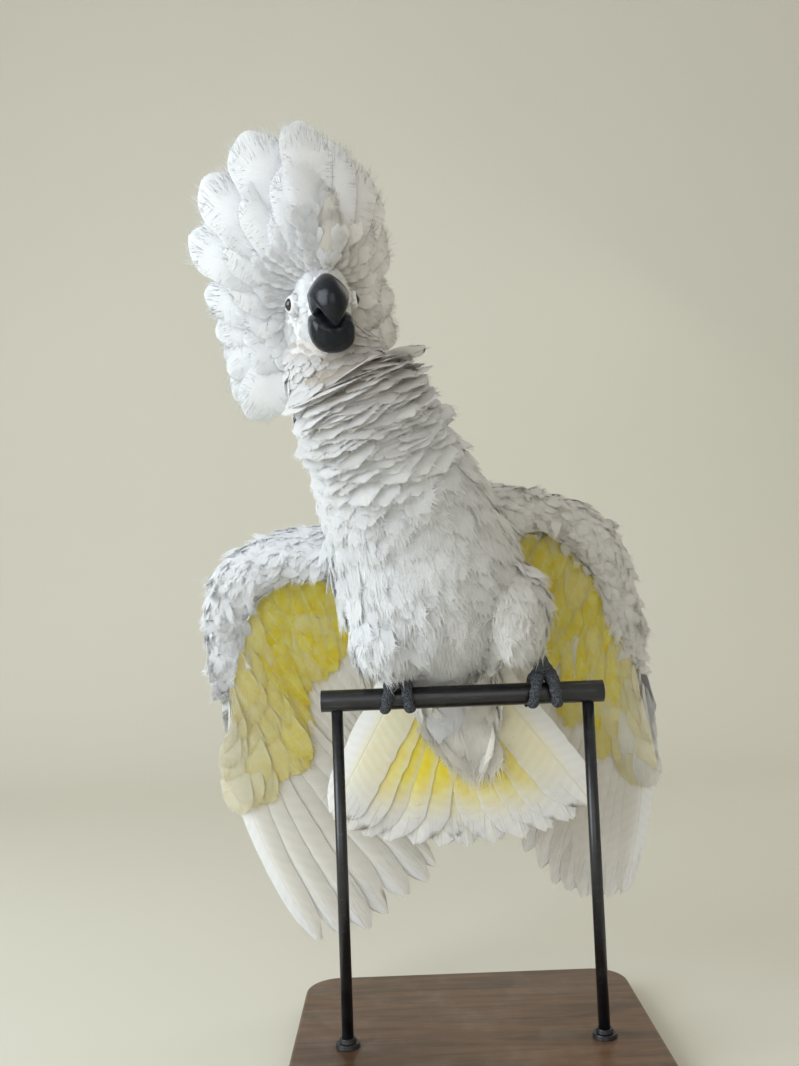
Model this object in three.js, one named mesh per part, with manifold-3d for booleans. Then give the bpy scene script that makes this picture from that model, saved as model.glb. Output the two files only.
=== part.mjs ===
// White cockatoo, wings half open, gripping a short perch on a plain display stand.
// Millimetres, +Z up. The bird faces -Y, and its right side is on -X.
// Heights of the bird are measured from the perch axis and lifted by PERCH_HEIGHT at the end.
import * as THREE from 'three';
import { ParametricGeometry } from 'three/addons/geometries/ParametricGeometry.js';
import { mergeVertices } from 'three/addons/utils/BufferGeometryUtils.js';
import Module from 'manifold-3d';

const wasm = await Module();
wasm.setup();

// ---------------------------------------------------------------- driving dimensions
const GAP = 0.3;
const PERCH_HEIGHT = 250;
const PERCH_RADIUS = 7.5;
const PERCH_HALF = 98;
const ROD_RADIUS = 4;
const ROD_OFFSET = 87;
const BASE_X = 250;
const BASE_Y = 210;
const BASE_THICK = 18;
const BASE_CORNER = 26;
const BASE_SHIFT_Y = 22;
const BASE_BEVEL = 2.5;
const BAR_SIDES = 24;
const ROD_SIDES = 16;

const HEAD_ORIGIN = [-82.5, -76.5, 258];
const HEAD_YAW = 15;
const HEAD_PITCH = -8;
const HEAD_LEAN = 7.3;
const EYE_SIDE = 17.4;
const EYE_FORWARD = 1;
const EYE_RADIUS = 6.2;

const TOE_RADIUS = 4.6;
const TOE_TIP_RADIUS = 3.5;
const CLAW_RADIUS = 2.5;

const FEATHER_THICK = 1.4;
const COVERT_THICK = 7;
const COVERT_END = 0.42;
const RIDGE = 0.9;

// facets round each limb and rings along it
const FACETS = {
  head: [14, 6],
  upperBill: [10, 6],
  lowerBill: [10, 4],
  eye: [9, 6],
  petal: [4, 4],
  neck: [18, 5],
  trunk: [18, 9],
  arm: [14, 6],
  hand: [12, 5],
  thigh: [12, 4],
  tarsus: [8, 3],
  toe: [6, 5],
  claw: [6, 3],
  tailBase: [14, 5],
};
const WELD = 1e-3;
const LEAN = 0.2;
const THINNEST = 0.2;
const ROW_STEP = 20;
const PART_CUT = 0.001;

const V = (x, y, z) => new THREE.Vector3(x, y, z);
const clamp01 = (t) => Math.min(1, Math.max(0, t));
const mix = (a, b, t) => a + (b - a) * t;

// ---------------------------------------------------------------- closed solids from surfaces
function solid(geometry) {
  const bare = new THREE.BufferGeometry();
  bare.setAttribute('position', geometry.getAttribute('position').clone());
  if (geometry.index) bare.setIndex(geometry.index.clone());
  const welded = mergeVertices(bare, WELD);
  const pos = welded.getAttribute('position').array;
  const source = welded.index.array;
  const keep = [];
  let volume = 0;
  const corner = (i) => V(pos[3 * i], pos[3 * i + 1], pos[3 * i + 2]);
  for (let i = 0; i < source.length; i += 3) {
    const [a, b, c] = [source[i], source[i + 1], source[i + 2]];
    if (a === b || b === c || a === c) continue;
    keep.push(a, b, c);
    volume += corner(a).dot(corner(b).cross(corner(c)));
  }
  if (volume < 0) {
    for (let i = 0; i < keep.length; i += 3) {
      [keep[i + 1], keep[i + 2]] = [keep[i + 2], keep[i + 1]];
    }
  }
  const mesh = new wasm.Mesh({
    numProp: 3,
    vertProperties: new Float32Array(pos),
    triVerts: new Uint32Array(keep),
  });
  mesh.merge();
  return new wasm.Manifold(mesh);
}

// Rings along a path, closed by a flat fan at both ends. ringAt(t) gives the centre
// and the two half-axes.
function ringLoft(ringAt, [around, along]) {
  const surface = (u, v, target) => {
    const row = Math.round(v * (along + 2));
    const ring = ringAt(clamp01((row - 1) / along));
    target.copy(ring.centre);
    if (row === 0 || row === along + 2) return;
    const angle = 2 * Math.PI * (Math.round(u * around) % around) / around;
    target.addScaledVector(ring.a, Math.cos(angle));
    target.addScaledVector(ring.b, Math.sin(angle));
  };
  return solid(new ParametricGeometry(surface, around, along + 2));
}

// Which way a ring's width and depth lie: width kept to one side, or depth kept front to back.
const widthAlong = (side) => (along) => {
  const a = side.clone().addScaledVector(along, -side.dot(along)).normalize();
  return [a, along.clone().cross(a).normalize()];
};
const depthFrontToBack = (along) => {
  const b = V(0, 1, 0).addScaledVector(along, -along.y).normalize();
  return [along.clone().cross(b).normalize(), b];
};
const acrossBody = widthAlong(V(1, 0, 0));

// A table of rows [x, y, z, halfWidth, halfDepth] read as a smooth limb between t0 and t1.
function limb(table, grow, t0 = 0, t1 = 1, lay = acrossBody) {
  const path = new THREE.CatmullRomCurve3(table.map((r) => V(r[0], r[1], r[2])));
  const size = new THREE.CatmullRomCurve3(table.map((r, i) => V(r[3], r[4], i * ROW_STEP)));
  return (t) => {
    const s = mix(t0, t1, t);
    const centre = path.getPoint(s);
    const along = path.getTangent(s);
    const half = size.getPoint(s);
    const [a, b] = lay(along);
    a.multiplyScalar(Math.max(half.x, THINNEST) + grow);
    b.multiplyScalar(Math.max(half.y, THINNEST) + grow);
    if (grow > 0 && t === 0) centre.addScaledVector(along, -grow);
    if (grow > 0 && t === 1) centre.addScaledVector(along, grow);
    return { centre, a, b };
  };
}

const without = (body, ...others) => others.reduce((left, other) => left.subtract(other), body);
const joined = (list) => list.reduce((left, other) => left.add(other));
// The one connected piece that matters, where a cut leaves slivers behind.
const main = (body) => body.decompose().reduce((a, b) => (b.volume() > a.volume() ? b : a));

// ---------------------------------------------------------------- head frame
const deg = Math.PI / 180;
const headTurn = new THREE.Matrix4().makeRotationZ(HEAD_YAW * deg)
  .multiply(new THREE.Matrix4().makeRotationX(-HEAD_PITCH * deg))
  .multiply(new THREE.Matrix4().makeRotationY(-HEAD_LEAN * deg));
// u to the bird's left, w up, n forward out of the face
const headDir = (u, w, n) => V(u, -n, w).applyMatrix4(headTurn);
const head = (u, w, n) => headDir(u, w, n).add(V(...HEAD_ORIGIN));

// ---------------------------------------------------------------- head, bill, eyes
// rows: n, w, half width, half height
const HEAD_ROWS = [
  [20, -3, 9, 12], [16, -3, 15, 20], [7, -2, 18.5, 28], [-7, -1, 22.5, 36],
  [-24, -2, 32, 43], [-40, -6, 35, 43], [-54, -10, 26, 33], [-62, -12, 9, 12],
];
const UPPER_ROWS = [
  [11, 2.5, 12, 12.6], [19, 3, 12.2, 12], [26.5, 1.2, 11.8, 10.8], [32, -3.6, 10.2, 8.6],
  [33.6, -9.6, 7.6, 6.0], [31.8, -15.4, 4.4, 3.6], [28.6, -20, 1.3, 1.1],
];
const LOWER_ROWS = [
  [8, -14, 13, 9], [15, -18, 14.2, 11], [22, -22.5, 14.2, 12], [27.5, -24.5, 12, 10], [31, -25.5, 7, 6],
];
const headLimb = (rows) => rows.map(([n, w, a, b]) => {
  const p = head(0, w, n);
  return [p.x, p.y, p.z, a, b];
});
const acrossHead = widthAlong(headDir(1, 0, 0));
const headBody = (g) => ringLoft(limb(headLimb(HEAD_ROWS), g, 0, 1, acrossHead), FACETS.head);
const upperBody = (g) => ringLoft(limb(headLimb(UPPER_ROWS), g, 0, 1, acrossHead), FACETS.upperBill);
const lowerBody = (g) => ringLoft(limb(headLimb(LOWER_ROWS), g, 0, 1, acrossHead), FACETS.lowerBill);
function eyeBody(sign, g) {
  const p = head(sign * EYE_SIDE, 0, EYE_FORWARD);
  return solid(new THREE.SphereGeometry(EYE_RADIUS + g, ...FACETS.eye).translate(p.x, p.y, p.z));
}

// ---------------------------------------------------------------- crest and ruff
// Each broad feather: angle from straight up (towards the bird's left is positive), reach from the
// head's middle, how far behind the face its tip stands, its root set-back, half width.
const CREST = [
  [1, 113, 0, 14, 18], [-17, 115, 6, 8, 21], [-35, 106, 16, -2, 21], [-54, 92, 26, -10, 20],
  [22, 98, 14, 4, 19], [42, 76, 28, -10, 18], [-8, 107, 42, -14, 23], [-34, 98, 58, -26, 22],
  [18, 88, 58, -24, 21], [-4, 80, 88, -34, 24], [-46, 72, 84, -36, 21],
];
const RUFF = [
  [-76, 72, 36, -20, 20], [-97, 66, 42, -24, 19], [-120, 70, 42, -26, 19], [-142, 84, 40, -26, 17],
  [84, 58, 34, -18, 19], [115, 61, 36, -22, 19], [144, 78, 38, -26, 16],
];
const ROOT_SIDE = 16;
const ROOT_UP = 20;
const PETAL_BOW = [0.58, 7];
const PETAL_THICK = [4.6, 1.6];
const WIDEST = 0.6;
const ROUND_END = 0.42;
function petal([angle, reach, back, rootBack, halfWidth], grow) {
  const out = V(Math.sin(angle * deg), Math.cos(angle * deg), 0);
  const bowReach = reach * PETAL_BOW[0];
  const root = V(out.x * ROOT_SIDE, out.y * ROOT_UP, rootBack);
  const tip = V(out.x * reach, out.y * reach, -back);
  const bow = V(out.x * bowReach, out.y * bowReach, rootBack + PETAL_BOW[1]);
  const path = new THREE.QuadraticBezierCurve3(root, bow, tip);
  const ringAt = (t) => {
    const p = path.getPoint(t);
    const along = path.getTangent(t);
    const across = along.clone().cross(V(0, 0, 1)).normalize();
    const face = across.clone().cross(along).normalize();
    const rise = mix(0.4, 1, Math.sin(Math.PI * t / (2 * WIDEST)));
    const wide = halfWidth * (t < WIDEST ? rise : Math.sqrt(1 - ((t - WIDEST) / ROUND_END) ** 2));
    const thick = mix(...PETAL_THICK, t);
    return {
      centre: head(p.x, p.y, p.z),
      a: headDir(across.x, across.y, across.z).multiplyScalar(wide + grow),
      b: headDir(face.x, face.y, face.z).multiplyScalar(thick + grow),
    };
  };
  return ringLoft(ringAt, FACETS.petal);
}
// The crown belongs to the crest: everything of the skull above CROWN and behind CROWN_FRONT.
const CROWN = 20;
const CROWN_FRONT = 12;
const CROWN_BOX = 160;
function crownBlock(grow) {
  const block = new THREE.BoxGeometry(CROWN_BOX, CROWN_BOX, CROWN_BOX);
  block.translate(0, CROWN_BOX / 2 - CROWN_FRONT - grow, CROWN_BOX / 2 + CROWN - grow);
  block.applyMatrix4(headTurn).translate(...HEAD_ORIGIN);
  return solid(block);
}

// ---------------------------------------------------------------- neck and trunk
const SPINE = [
  [-86, -40, 246, 30, 24], [-79, -49, 228, 42, 33], [-69, -52, 202, 46, 39], [-57, -41, 175, 51, 42],
  [-45, -27, 149, 58, 48], [-34, -13, 123, 65, 54], [-24, -2, 95, 70, 57], [-19, 7, 67, 66, 54],
  [-15, 18, 42, 52, 42], [-11, 29, 23, 38, 23], [-8, 38, 8, 24, 12],
];
const NECK_END = 0.37;
const neckBody = (g) => ringLoft(limb(SPINE, g, 0, NECK_END - PART_CUT), FACETS.neck);
const trunkBody = (g, t0) => ringLoft(limb(SPINE, g, t0, 1), FACETS.trunk);

// ---------------------------------------------------------------- legs
const THIGH = {
  right: [[-46, 6, 80, 14, 16], [-52, -2, 63, 27, 28], [-52, -7, 43, 27, 30], [-46, -5, 27, 17, 18],
    [-43, -2, 18, 8, 8]],
  left: [[20, 8, 94, 16, 20], [31, 0, 74, 29, 32], [37, -6, 51, 28, 31], [44, -4, 35, 18, 19],
    [47, -2, 26, 8, 8]],
};
const FOOT_X = { right: -44, left: 57 };
const TARSUS_TOP = { right: [-43, -2, 30], left: [47, -2, 38] };
const thighBody = (side, g) => ringLoft(limb(THIGH[side], g), FACETS.thigh);
// toes: sideways place at the root, at the tip, and +1 for the front of the perch
const TOES = [[-4.2, -9.5, 1], [4.6, 7.5, 1], [-4.4, -11, -1], [4.4, 9.5, -1]];
const TOE_START = 12;
const TOE_END = 128;
const CLAW_END = 186;
const CLAW_SHY = 2.2;
const CLAW_POINT = 0.6;
const TOE_CLEAR = 0.4;
const KNUCKLES = 9;
const KNUCKLE_SWELL = 0.06;
const TOE_OVERRUN = 1.2;
function toeRing(side, [x0, x1, face], a0, a1, r0, r1, grow) {
  const spot = (angle, r) => {
    const reach = PERCH_RADIUS + TOE_CLEAR + r;
    const s = (angle - TOE_START) / (TOE_END - TOE_START);
    const x = FOOT_X[side] + mix(x0, x1, Math.min(TOE_OVERRUN, s));
    return V(x, -face * Math.sin(angle * deg) * reach, Math.cos(angle * deg) * reach);
  };
  return (t) => {
    const angle = mix(a0, a1, t);
    const r = mix(r0, r1, t) * (1 + KNUCKLE_SWELL * Math.cos(angle * deg * KNUCKLES));
    const centre = spot(angle, mix(r0, r1, t));
    const out = V(0, centre.y, centre.z).normalize();
    return { centre, a: V(r + grow, 0, 0), b: out.multiplyScalar(r + grow) };
  };
}
const toeBody = (side, toe, grow) =>
  ringLoft(toeRing(side, toe, TOE_START, TOE_END, TOE_RADIUS, TOE_TIP_RADIUS, grow), FACETS.toe);
const clawBody = (side, toe) =>
  ringLoft(toeRing(side, toe, TOE_END + CLAW_SHY, CLAW_END, CLAW_RADIUS, CLAW_POINT, 0), FACETS.claw);
function footBody(side, grow) {
  const x = FOOT_X[side];
  const top = TARSUS_TOP[side];
  const tarsus = [[...top, 6, 6.5], [mix(top[0], x, 0.5), -1.5, top[2] * 0.5 + 9, 5.4, 6],
    [x, -0.5, 15, 7.2, 6.8], [x, 0, 11.5, 8.6, 7.2]];
  const toes = TOES.map((toe) => toeBody(side, toe, grow));
  return joined([ringLoft(limb(tarsus, grow), FACETS.tarsus), ...toes]);
}

// ---------------------------------------------------------------- wings
// Leading edge of each wing from the shoulder over the wrist to the end of the hand:
// x, y, z, half width, half depth
const ARM = {
  right: [[-62, 28, 102, 27, 26], [-97, 27, 105, 23, 22], [-126, 28, 103, 21, 19], [-152, 32, 90, 23, 16],
    [-166, 38, 69, 20, 13], [-171, 46, 44, 17, 10], [-173, 54, 17, 13, 7.5], [-171, 62, -6, 6, 4]],
  left: [[0, 26, 126, 28, 28], [32, 25, 129, 23, 24], [66, 28, 128, 18, 19], [95, 32, 114, 21, 16],
    [112, 38, 92, 19, 13], [122, 45, 65, 16, 10], [132, 53, 32, 12, 7.5], [142, 62, -8, 5.5, 4]],
};
const WRIST = 0.52;
const armBody = (side, g) =>
  ringLoft(limb(ARM[side], g, 0, WRIST - PART_CUT, depthFrontToBack), FACETS.arm);
const handBody = (side, g) =>
  ringLoft(limb(ARM[side], g, WRIST + PART_CUT, 1, depthFrontToBack), FACETS.hand);

// Flight feathers from the outermost primary (0) to the innermost secondary (20).
// Root line, tip line and backward bow of the fan; the lines are smooth curves through these points.
const PRIMARIES = 10;
const SECONDARIES = 11;
const FAN = {
  right: {
    roots: [[-172, 61, -4], [-173, 55, 16], [-170, 48, 42], [-163, 44, 64], [-140, 46, 82],
      [-112, 48, 90], [-84, 48, 92]],
    tips: [[-125, 122, -204], [-99, 124, -201], [-74, 125, -195], [-54, 125, -179], [-29, 125, -163],
      [-18, 123, -147], [-27, 119, -127], [-36, 114, -103], [-46, 108, -83], [-56, 103, -63],
      [-62, 99, -47], [-64, 95, -33],
      [-64, 91, -20], [-62, 88, -8], [-60, 86, 4], [-58, 84, 14], [-56, 82, 24]],
    bow: [[-40, 14, 8], [-6, 8, 0]],
  },
  left: {
    roots: [[141, 60, -6], [132, 54, 30], [122, 48, 60], [110, 44, 88], [88, 46, 108],
      [60, 48, 114], [34, 48, 112]],
    tips: [[142, 150, -180], [128, 156, -187], [114, 160, -190], [98, 160, -186], [82, 158, -178],
      [66, 154, -160], [50, 150, -140], [38, 144, -115], [30, 136, -88], [24, 128, -66],
      [20, 120, -46], [18, 112, -30],
      [17, 106, -16], [17, 101, -3], [18, 96, 10], [19, 92, 22], [20, 89, 33]],
    bow: [[18, 14, 2], [8, 8, 0]],
  },
};
// A fan of feathers as one thin ribbed sheet: s counts feathers, v runs from root to tip.
const BOW_EASE = 0.6;
const SLOPE_S = 0.1;
const SLOPE_V = 0.02;
const RIB_DIP = 0.16;
const END_NOTCH = 0.45;
const COVERT_EASE = 1.3;
function fanBody({ roots, tips, bow }, count, s0, s1, style) {
  const rootLine = new THREE.CatmullRomCurve3(roots.map((p) => V(...p)));
  const tipLine = new THREE.CatmullRomCurve3(tips.map((p) => V(...p)));
  const feathers = Math.round(s1 - s0);
  const columns = feathers * style.ribs;
  const rows = style.rows.length - 1;
  const mid = (s, v) => {
    const f = clamp01(s / count);
    const root = rootLine.getPoint(f);
    const tip = tipLine.getPoint(f);
    const ctrl = root.clone().lerp(tip, 0.5).add(V(...bow[0]).lerp(V(...bow[1]), f ** BOW_EASE));
    return new THREE.QuadraticBezierCurve3(root, ctrl, tip).getPoint(v);
  };
  const at = (column, row, face) => {
    const s = mix(s0, s1, column / columns);
    const inFeather = (column % style.ribs) / style.ribs;
    const edge = inFeather === 0 ? 1 : RIB_DIP * (style.ribs - 2);
    const end = column === 0 || column === columns;
    const reach = 1 - edge * style.notch * (end ? END_NOTCH : 1);
    const v = reach * style.rows[row];
    const here = mid(s, v);
    const du = mid(Math.min(s + SLOPE_S, count), v).sub(mid(Math.max(s - SLOPE_S, 0), v));
    const dv = mid(s, Math.min(v + SLOPE_V, 1)).sub(mid(s, Math.max(v - SLOPE_V, 0)));
    const normal = du.cross(dv).normalize();
    if (normal.y > 0) normal.negate();
    const covert = COVERT_THICK * style.covert * Math.max(0, 1 - v / COVERT_END) ** COVERT_EASE;
    const ridge = RIDGE * (inFeather === 0 ? -1 : 0.5);
    return here.addScaledVector(normal, face * (FEATHER_THICK + covert) / 2 + ridge);
  };
  const loop = 2 * columns + 2;
  const surface = (u, v, target) => {
    const step = Math.round(u * loop) % loop;
    const column = step <= columns ? step : 2 * columns + 1 - step;
    const face = step <= columns ? 1 : -1;
    const row = Math.round(v * (rows + 2)) - 1;
    const inside = row >= 0 && row <= rows;
    target.copy(at(column, Math.min(rows, Math.max(0, row)), inside ? face : 0));
  };
  return solid(new ParametricGeometry(surface, loop, rows + 2));
}
const PRIMARY_STYLE = { rows: [0, 0.3, 0.72, 1], notch: 0.12, covert: 1, ribs: 3 };
const SECONDARY_STYLE = { rows: [0, 0.35, 1], notch: 0.1, covert: 1, ribs: 2 };
const flightBody = (side, s0, s1, style) => fanBody(FAN[side], PRIMARIES + SECONDARIES, s0, s1, style);

// ---------------------------------------------------------------- tail
const RECTRICES = 12;
const TAIL_STYLE = { rows: [0, 0.5, 1], notch: 0.08, covert: 0.5, ribs: 3 };
const TAIL = {
  roots: [[-30, 55, 34], [-11, 56, 30], [8, 55, 32]],
  tips: [[-104, 66, -86], [-88, 68, -103], [-66, 70, -112], [-36, 71, -118], [-6, 72, -121],
    [26, 72, -119], [58, 71, -113], [84, 70, -102], [106, 68, -84]],
  bow: [[0, -4, 0], [0, -4, 0]],
};
const TAIL_BASE = [
  [-10, 36, 58, 36, 16], [-9, 47, 30, 38, 19], [-3, 53, 2, 35, 14], [5, 57, -27, 25, 9], [11, 59, -50, 10, 4],
];
const tailBase = (g) => ringLoft(limb(TAIL_BASE, g), FACETS.tailBase);

// ---------------------------------------------------------------- stand
function barBody(g) {
  const radius = PERCH_RADIUS + g;
  const bar = new THREE.CylinderGeometry(radius, radius, 2 * (PERCH_HALF + g), BAR_SIDES);
  return solid(bar.rotateZ(Math.PI / 2));
}
function rodBody(sign) {
  const length = PERCH_HEIGHT - BASE_THICK - GAP;
  const rod = new THREE.CylinderGeometry(ROD_RADIUS, ROD_RADIUS, length, ROD_SIDES);
  rod.rotateX(Math.PI / 2).translate(sign * ROD_OFFSET, 0, -length / 2);
  return without(solid(rod), barBody(GAP));
}
function baseBody() {
  const [x, y, r] = [BASE_X / 2 - BASE_BEVEL, BASE_Y / 2 - BASE_BEVEL, BASE_CORNER];
  const plan = new THREE.Shape();
  plan.moveTo(-x + r, -y);
  for (const [sx, sy, start] of [[1, -1, -90], [1, 1, 0], [-1, 1, 90], [-1, -1, 180]]) {
    plan.absarc(sx * (x - r), sy * (y - r), r, start * deg, (start + 90) * deg, false);
  }
  const slab = new THREE.ExtrudeGeometry(plan, {
    depth: BASE_THICK - BASE_BEVEL,
    bevelEnabled: true,
    bevelThickness: BASE_BEVEL,
    bevelSize: BASE_BEVEL,
    bevelSegments: 1,
    curveSegments: 4,
  });
  slab.translate(0, BASE_SHIFT_Y, -PERCH_HEIGHT);
  const below = new THREE.BoxGeometry(BASE_X * 2, BASE_Y * 2, BASE_THICK);
  below.translate(0, BASE_SHIFT_Y, -PERCH_HEIGHT - BASE_THICK / 2);
  return without(solid(slab), solid(below));
}

// ---------------------------------------------------------------- materials
const paint = (colour, roughness, metalness) =>
  new THREE.MeshStandardMaterial({ color: colour, roughness, metalness });
const WHITE = 0xf4f2ee;
const WARM = 0xf1ecdf;
const YELLOW = 0xf0e2a0;
const HORN = 0x24262a;
const SKIN = 0x4a4b4f;
const WOOD = 0x6b4a30;
const BLACK = 0x151516;

// ---------------------------------------------------------------- assembly
const part = new THREE.Group();
part.name = 'white_cockatoo';
function place(name, body, colour, roughness = 0.8, metalness = 0) {
  const lean = main(body.simplify(LEAN));
  const mesh = lean.getMesh();
  const geometry = new THREE.BufferGeometry();
  const points = new Float32Array(mesh.numVert * 3);
  for (let i = 0; i < mesh.numVert; i += 1) {
    for (let k = 0; k < 3; k += 1) {
      points[3 * i + k] = mesh.vertProperties[mesh.numProp * i + k];
    }
    points[3 * i + 2] += PERCH_HEIGHT;
  }
  geometry.setAttribute('position', new THREE.BufferAttribute(points, 3));
  geometry.setIndex(new THREE.BufferAttribute(new Uint32Array(mesh.triVerts), 1));
  geometry.computeVertexNormals();
  const item = new THREE.Mesh(geometry, paint(colour, roughness, metalness));
  item.name = name;
  part.add(item);
}

const SIDES = ['right', 'left'];
const upper = without(upperBody(0), headBody(GAP));
const lower = without(lowerBody(0), upperBody(GAP), headBody(GAP));
const eyes = { right: eyeBody(-1, 0), left: eyeBody(1, 0) };
const eyesGrown = joined([eyeBody(-1, GAP), eyeBody(1, GAP)]);
const crest = joined([headBody(0).intersect(crownBlock(0)), ...CREST.map((row) => petal(row, 0))]);
const crestGrown = joined([crownBlock(GAP), ...CREST.map((row) => petal(row, 2 * GAP))]);
const skull = joined([headBody(0), ...RUFF.map((row) => petal(row, 0))]);
place('head', without(skull, crestGrown, eyesGrown, neckBody(GAP)), WHITE);
place('upper_bill', upper, HORN, 0.35);
place('lower_bill', lower, HORN, 0.4);
for (const side of SIDES) {
  place(`eye_${side}`, eyes[side], 0x0a0a0c, 0.08);
}
place('crest', without(crest, eyesGrown, upperBody(GAP), neckBody(GAP)), WHITE);
place('neck', without(neckBody(0), upperBody(GAP), lowerBody(GAP)), WHITE);

const arms = {};
const thighs = {};
for (const side of SIDES) {
  arms[side] = joined([armBody(side, GAP), handBody(side, GAP)]);
  thighs[side] = thighBody(side, GAP);
}
const feet = { right: footBody('right', GAP), left: footBody('left', GAP) };
const trunkGrown = trunkBody(GAP, NECK_END);
place('trunk', trunkBody(0, NECK_END + PART_CUT), WHITE);
for (const side of SIDES) {
  const body = joined([trunkGrown, thighs[side]]);
  place(`wing_arm_${side}`, without(armBody(side, 0), trunkGrown, thighs[side]), WHITE);
  place(`wing_hand_${side}`, handBody(side, 0), WHITE);
  const cut = joined([body, arms[side]]);
  const outer = flightBody(side, 0, PRIMARIES, PRIMARY_STYLE);
  place(`primaries_${side}`, without(outer, cut), WARM);
  const inner = flightBody(side, PRIMARIES + 0.12, PRIMARIES + SECONDARIES, SECONDARY_STYLE);
  place(`secondaries_${side}`, without(inner, cut), YELLOW);
  const foot = without(footBody(side, 0), barBody(GAP), trunkGrown);
  place(`thigh_${side}`, without(thighBody(side, 0), trunkGrown, feet[side]), WHITE);
  place(`foot_${side}`, foot, SKIN, 0.75);
  TOES.forEach((toe, i) => place(`claw_${side}_${i + 1}`, clawBody(side, toe), HORN, 0.35));
}
place('tail_base', without(tailBase(0), trunkGrown, thighs.right, thighs.left), WARM);
const tailFan = fanBody(TAIL, RECTRICES, 0, RECTRICES, TAIL_STYLE);
place('tail', without(tailFan, tailBase(1.5 * GAP), trunkGrown), WARM);

place('stand_perch', barBody(0), BLACK, 0.35, 0.6);
place('stand_rod_right', rodBody(-1), BLACK, 0.35, 0.6);
place('stand_rod_left', rodBody(1), BLACK, 0.35, 0.6);
place('stand_base', baseBody(), WOOD, 0.55);

export default part;
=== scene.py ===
"""White cockatoo with raised crest and half-open wings, gripping a short perch on a plain stand.

Metres, +Z up. The bird faces -Y and its right side is on -X. Tables of the body are in
millimetres, with heights measured from the perch axis.
"""

import itertools
import math

import bmesh
import bpy
import numpy as np
from mathutils import Matrix, Vector, noise
from mathutils.bvhtree import BVHTree
from mathutils.kdtree import KDTree


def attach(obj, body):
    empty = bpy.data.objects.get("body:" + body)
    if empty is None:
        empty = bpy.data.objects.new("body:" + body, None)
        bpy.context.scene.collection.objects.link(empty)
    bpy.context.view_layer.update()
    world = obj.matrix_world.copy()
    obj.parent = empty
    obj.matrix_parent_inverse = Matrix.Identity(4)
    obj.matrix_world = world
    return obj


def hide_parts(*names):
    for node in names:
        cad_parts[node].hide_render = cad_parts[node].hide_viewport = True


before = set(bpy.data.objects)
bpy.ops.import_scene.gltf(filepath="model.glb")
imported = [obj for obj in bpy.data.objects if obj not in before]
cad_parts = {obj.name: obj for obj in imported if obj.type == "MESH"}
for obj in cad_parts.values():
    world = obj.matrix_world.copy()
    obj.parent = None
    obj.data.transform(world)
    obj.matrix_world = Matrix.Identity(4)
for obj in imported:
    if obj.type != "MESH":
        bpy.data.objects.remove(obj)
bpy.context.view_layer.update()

MM = 0.001
PERCH_HEIGHT = 0.250
SIDES = ("right", "left")

# ------------------------------------------------------------------ the body in millimetres
HEAD_ORIGIN = (-82.5, -76.5, 258)
SHOULDER_MIDDLE_X = -24.75
HEAD_YAW, HEAD_PITCH, HEAD_LEAN = 15, -8, 7.3
EYE_SIDE = 17.4
EYE_RADIUS = 6.0
# rows along the face axis: forward, up, half width, half height
HEAD_ROWS = [
    [20, -3, 9, 12], [16, -3, 15, 20], [7, -2, 18.5, 28], [-7, -1, 22.5, 36],
    [-24, -2, 32, 43], [-40, -6, 35, 43], [-54, -10, 26, 33], [-62, -12, 9, 12],
]
UPPER_ROWS = [
    [11, 2.5, 12, 12.6], [19, 3, 12.2, 12], [26.5, 1.2, 11.8, 10.8], [32, -3.6, 10.2, 8.6],
    [33.6, -9.6, 7.6, 6.0], [31.8, -15.4, 4.4, 3.6], [28.6, -20, 1.3, 1.1],
]
LOWER_ROWS = [
    [8, -14, 13, 9], [15, -18, 14.2, 11], [22, -22.5, 14.2, 12], [27.5, -24.5, 12, 10], [31, -25.5, 7, 6],
]
# x, y, z, half width, half depth
SPINE = [
    [-86, -40, 246, 30, 24], [-79, -49, 228, 42, 33], [-69, -52, 202, 46, 39], [-57, -41, 175, 51, 42],
    [-45, -27, 149, 58, 48], [-34, -13, 123, 65, 54], [-24, -2, 95, 70, 57], [-19, 7, 67, 66, 54],
    [-15, 18, 42, 52, 42], [-11, 29, 23, 38, 23], [-8, 38, 8, 24, 12],
]
THIGH = {
    "right": [[-46, 6, 80, 14, 16], [-52, -2, 63, 27, 28], [-52, -7, 43, 27, 30], [-46, -5, 27, 17, 18],
              [-43, -2, 18, 8, 8]],
    "left": [[20, 8, 94, 16, 20], [31, 0, 74, 29, 32], [37, -6, 51, 28, 31], [44, -4, 35, 18, 19],
             [47, -2, 26, 8, 8]],
}
ARM = {
    "right": [[-62, 28, 102, 27, 26], [-97, 27, 105, 23, 22], [-126, 28, 103, 21, 19], [-152, 32, 90, 23, 16],
              [-166, 38, 69, 20, 13], [-171, 46, 44, 17, 10], [-173, 54, 17, 13, 7.5], [-171, 62, -6, 6, 4]],
    "left": [[0, 26, 126, 28, 28], [32, 25, 129, 23, 24], [66, 28, 128, 18, 19], [95, 32, 114, 21, 16],
             [112, 38, 92, 19, 13], [122, 45, 65, 16, 10], [132, 53, 32, 12, 7.5], [142, 62, -8, 5.5, 4]],
}
TAIL_BASE = [
    [-10, 36, 58, 36, 16], [-9, 47, 30, 38, 19], [-3, 53, 2, 35, 14], [5, 57, -27, 25, 9],
    [11, 59, -50, 10, 4],
]
PRIMARIES, SECONDARIES, RECTRICES = 10, 11, 12
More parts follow.
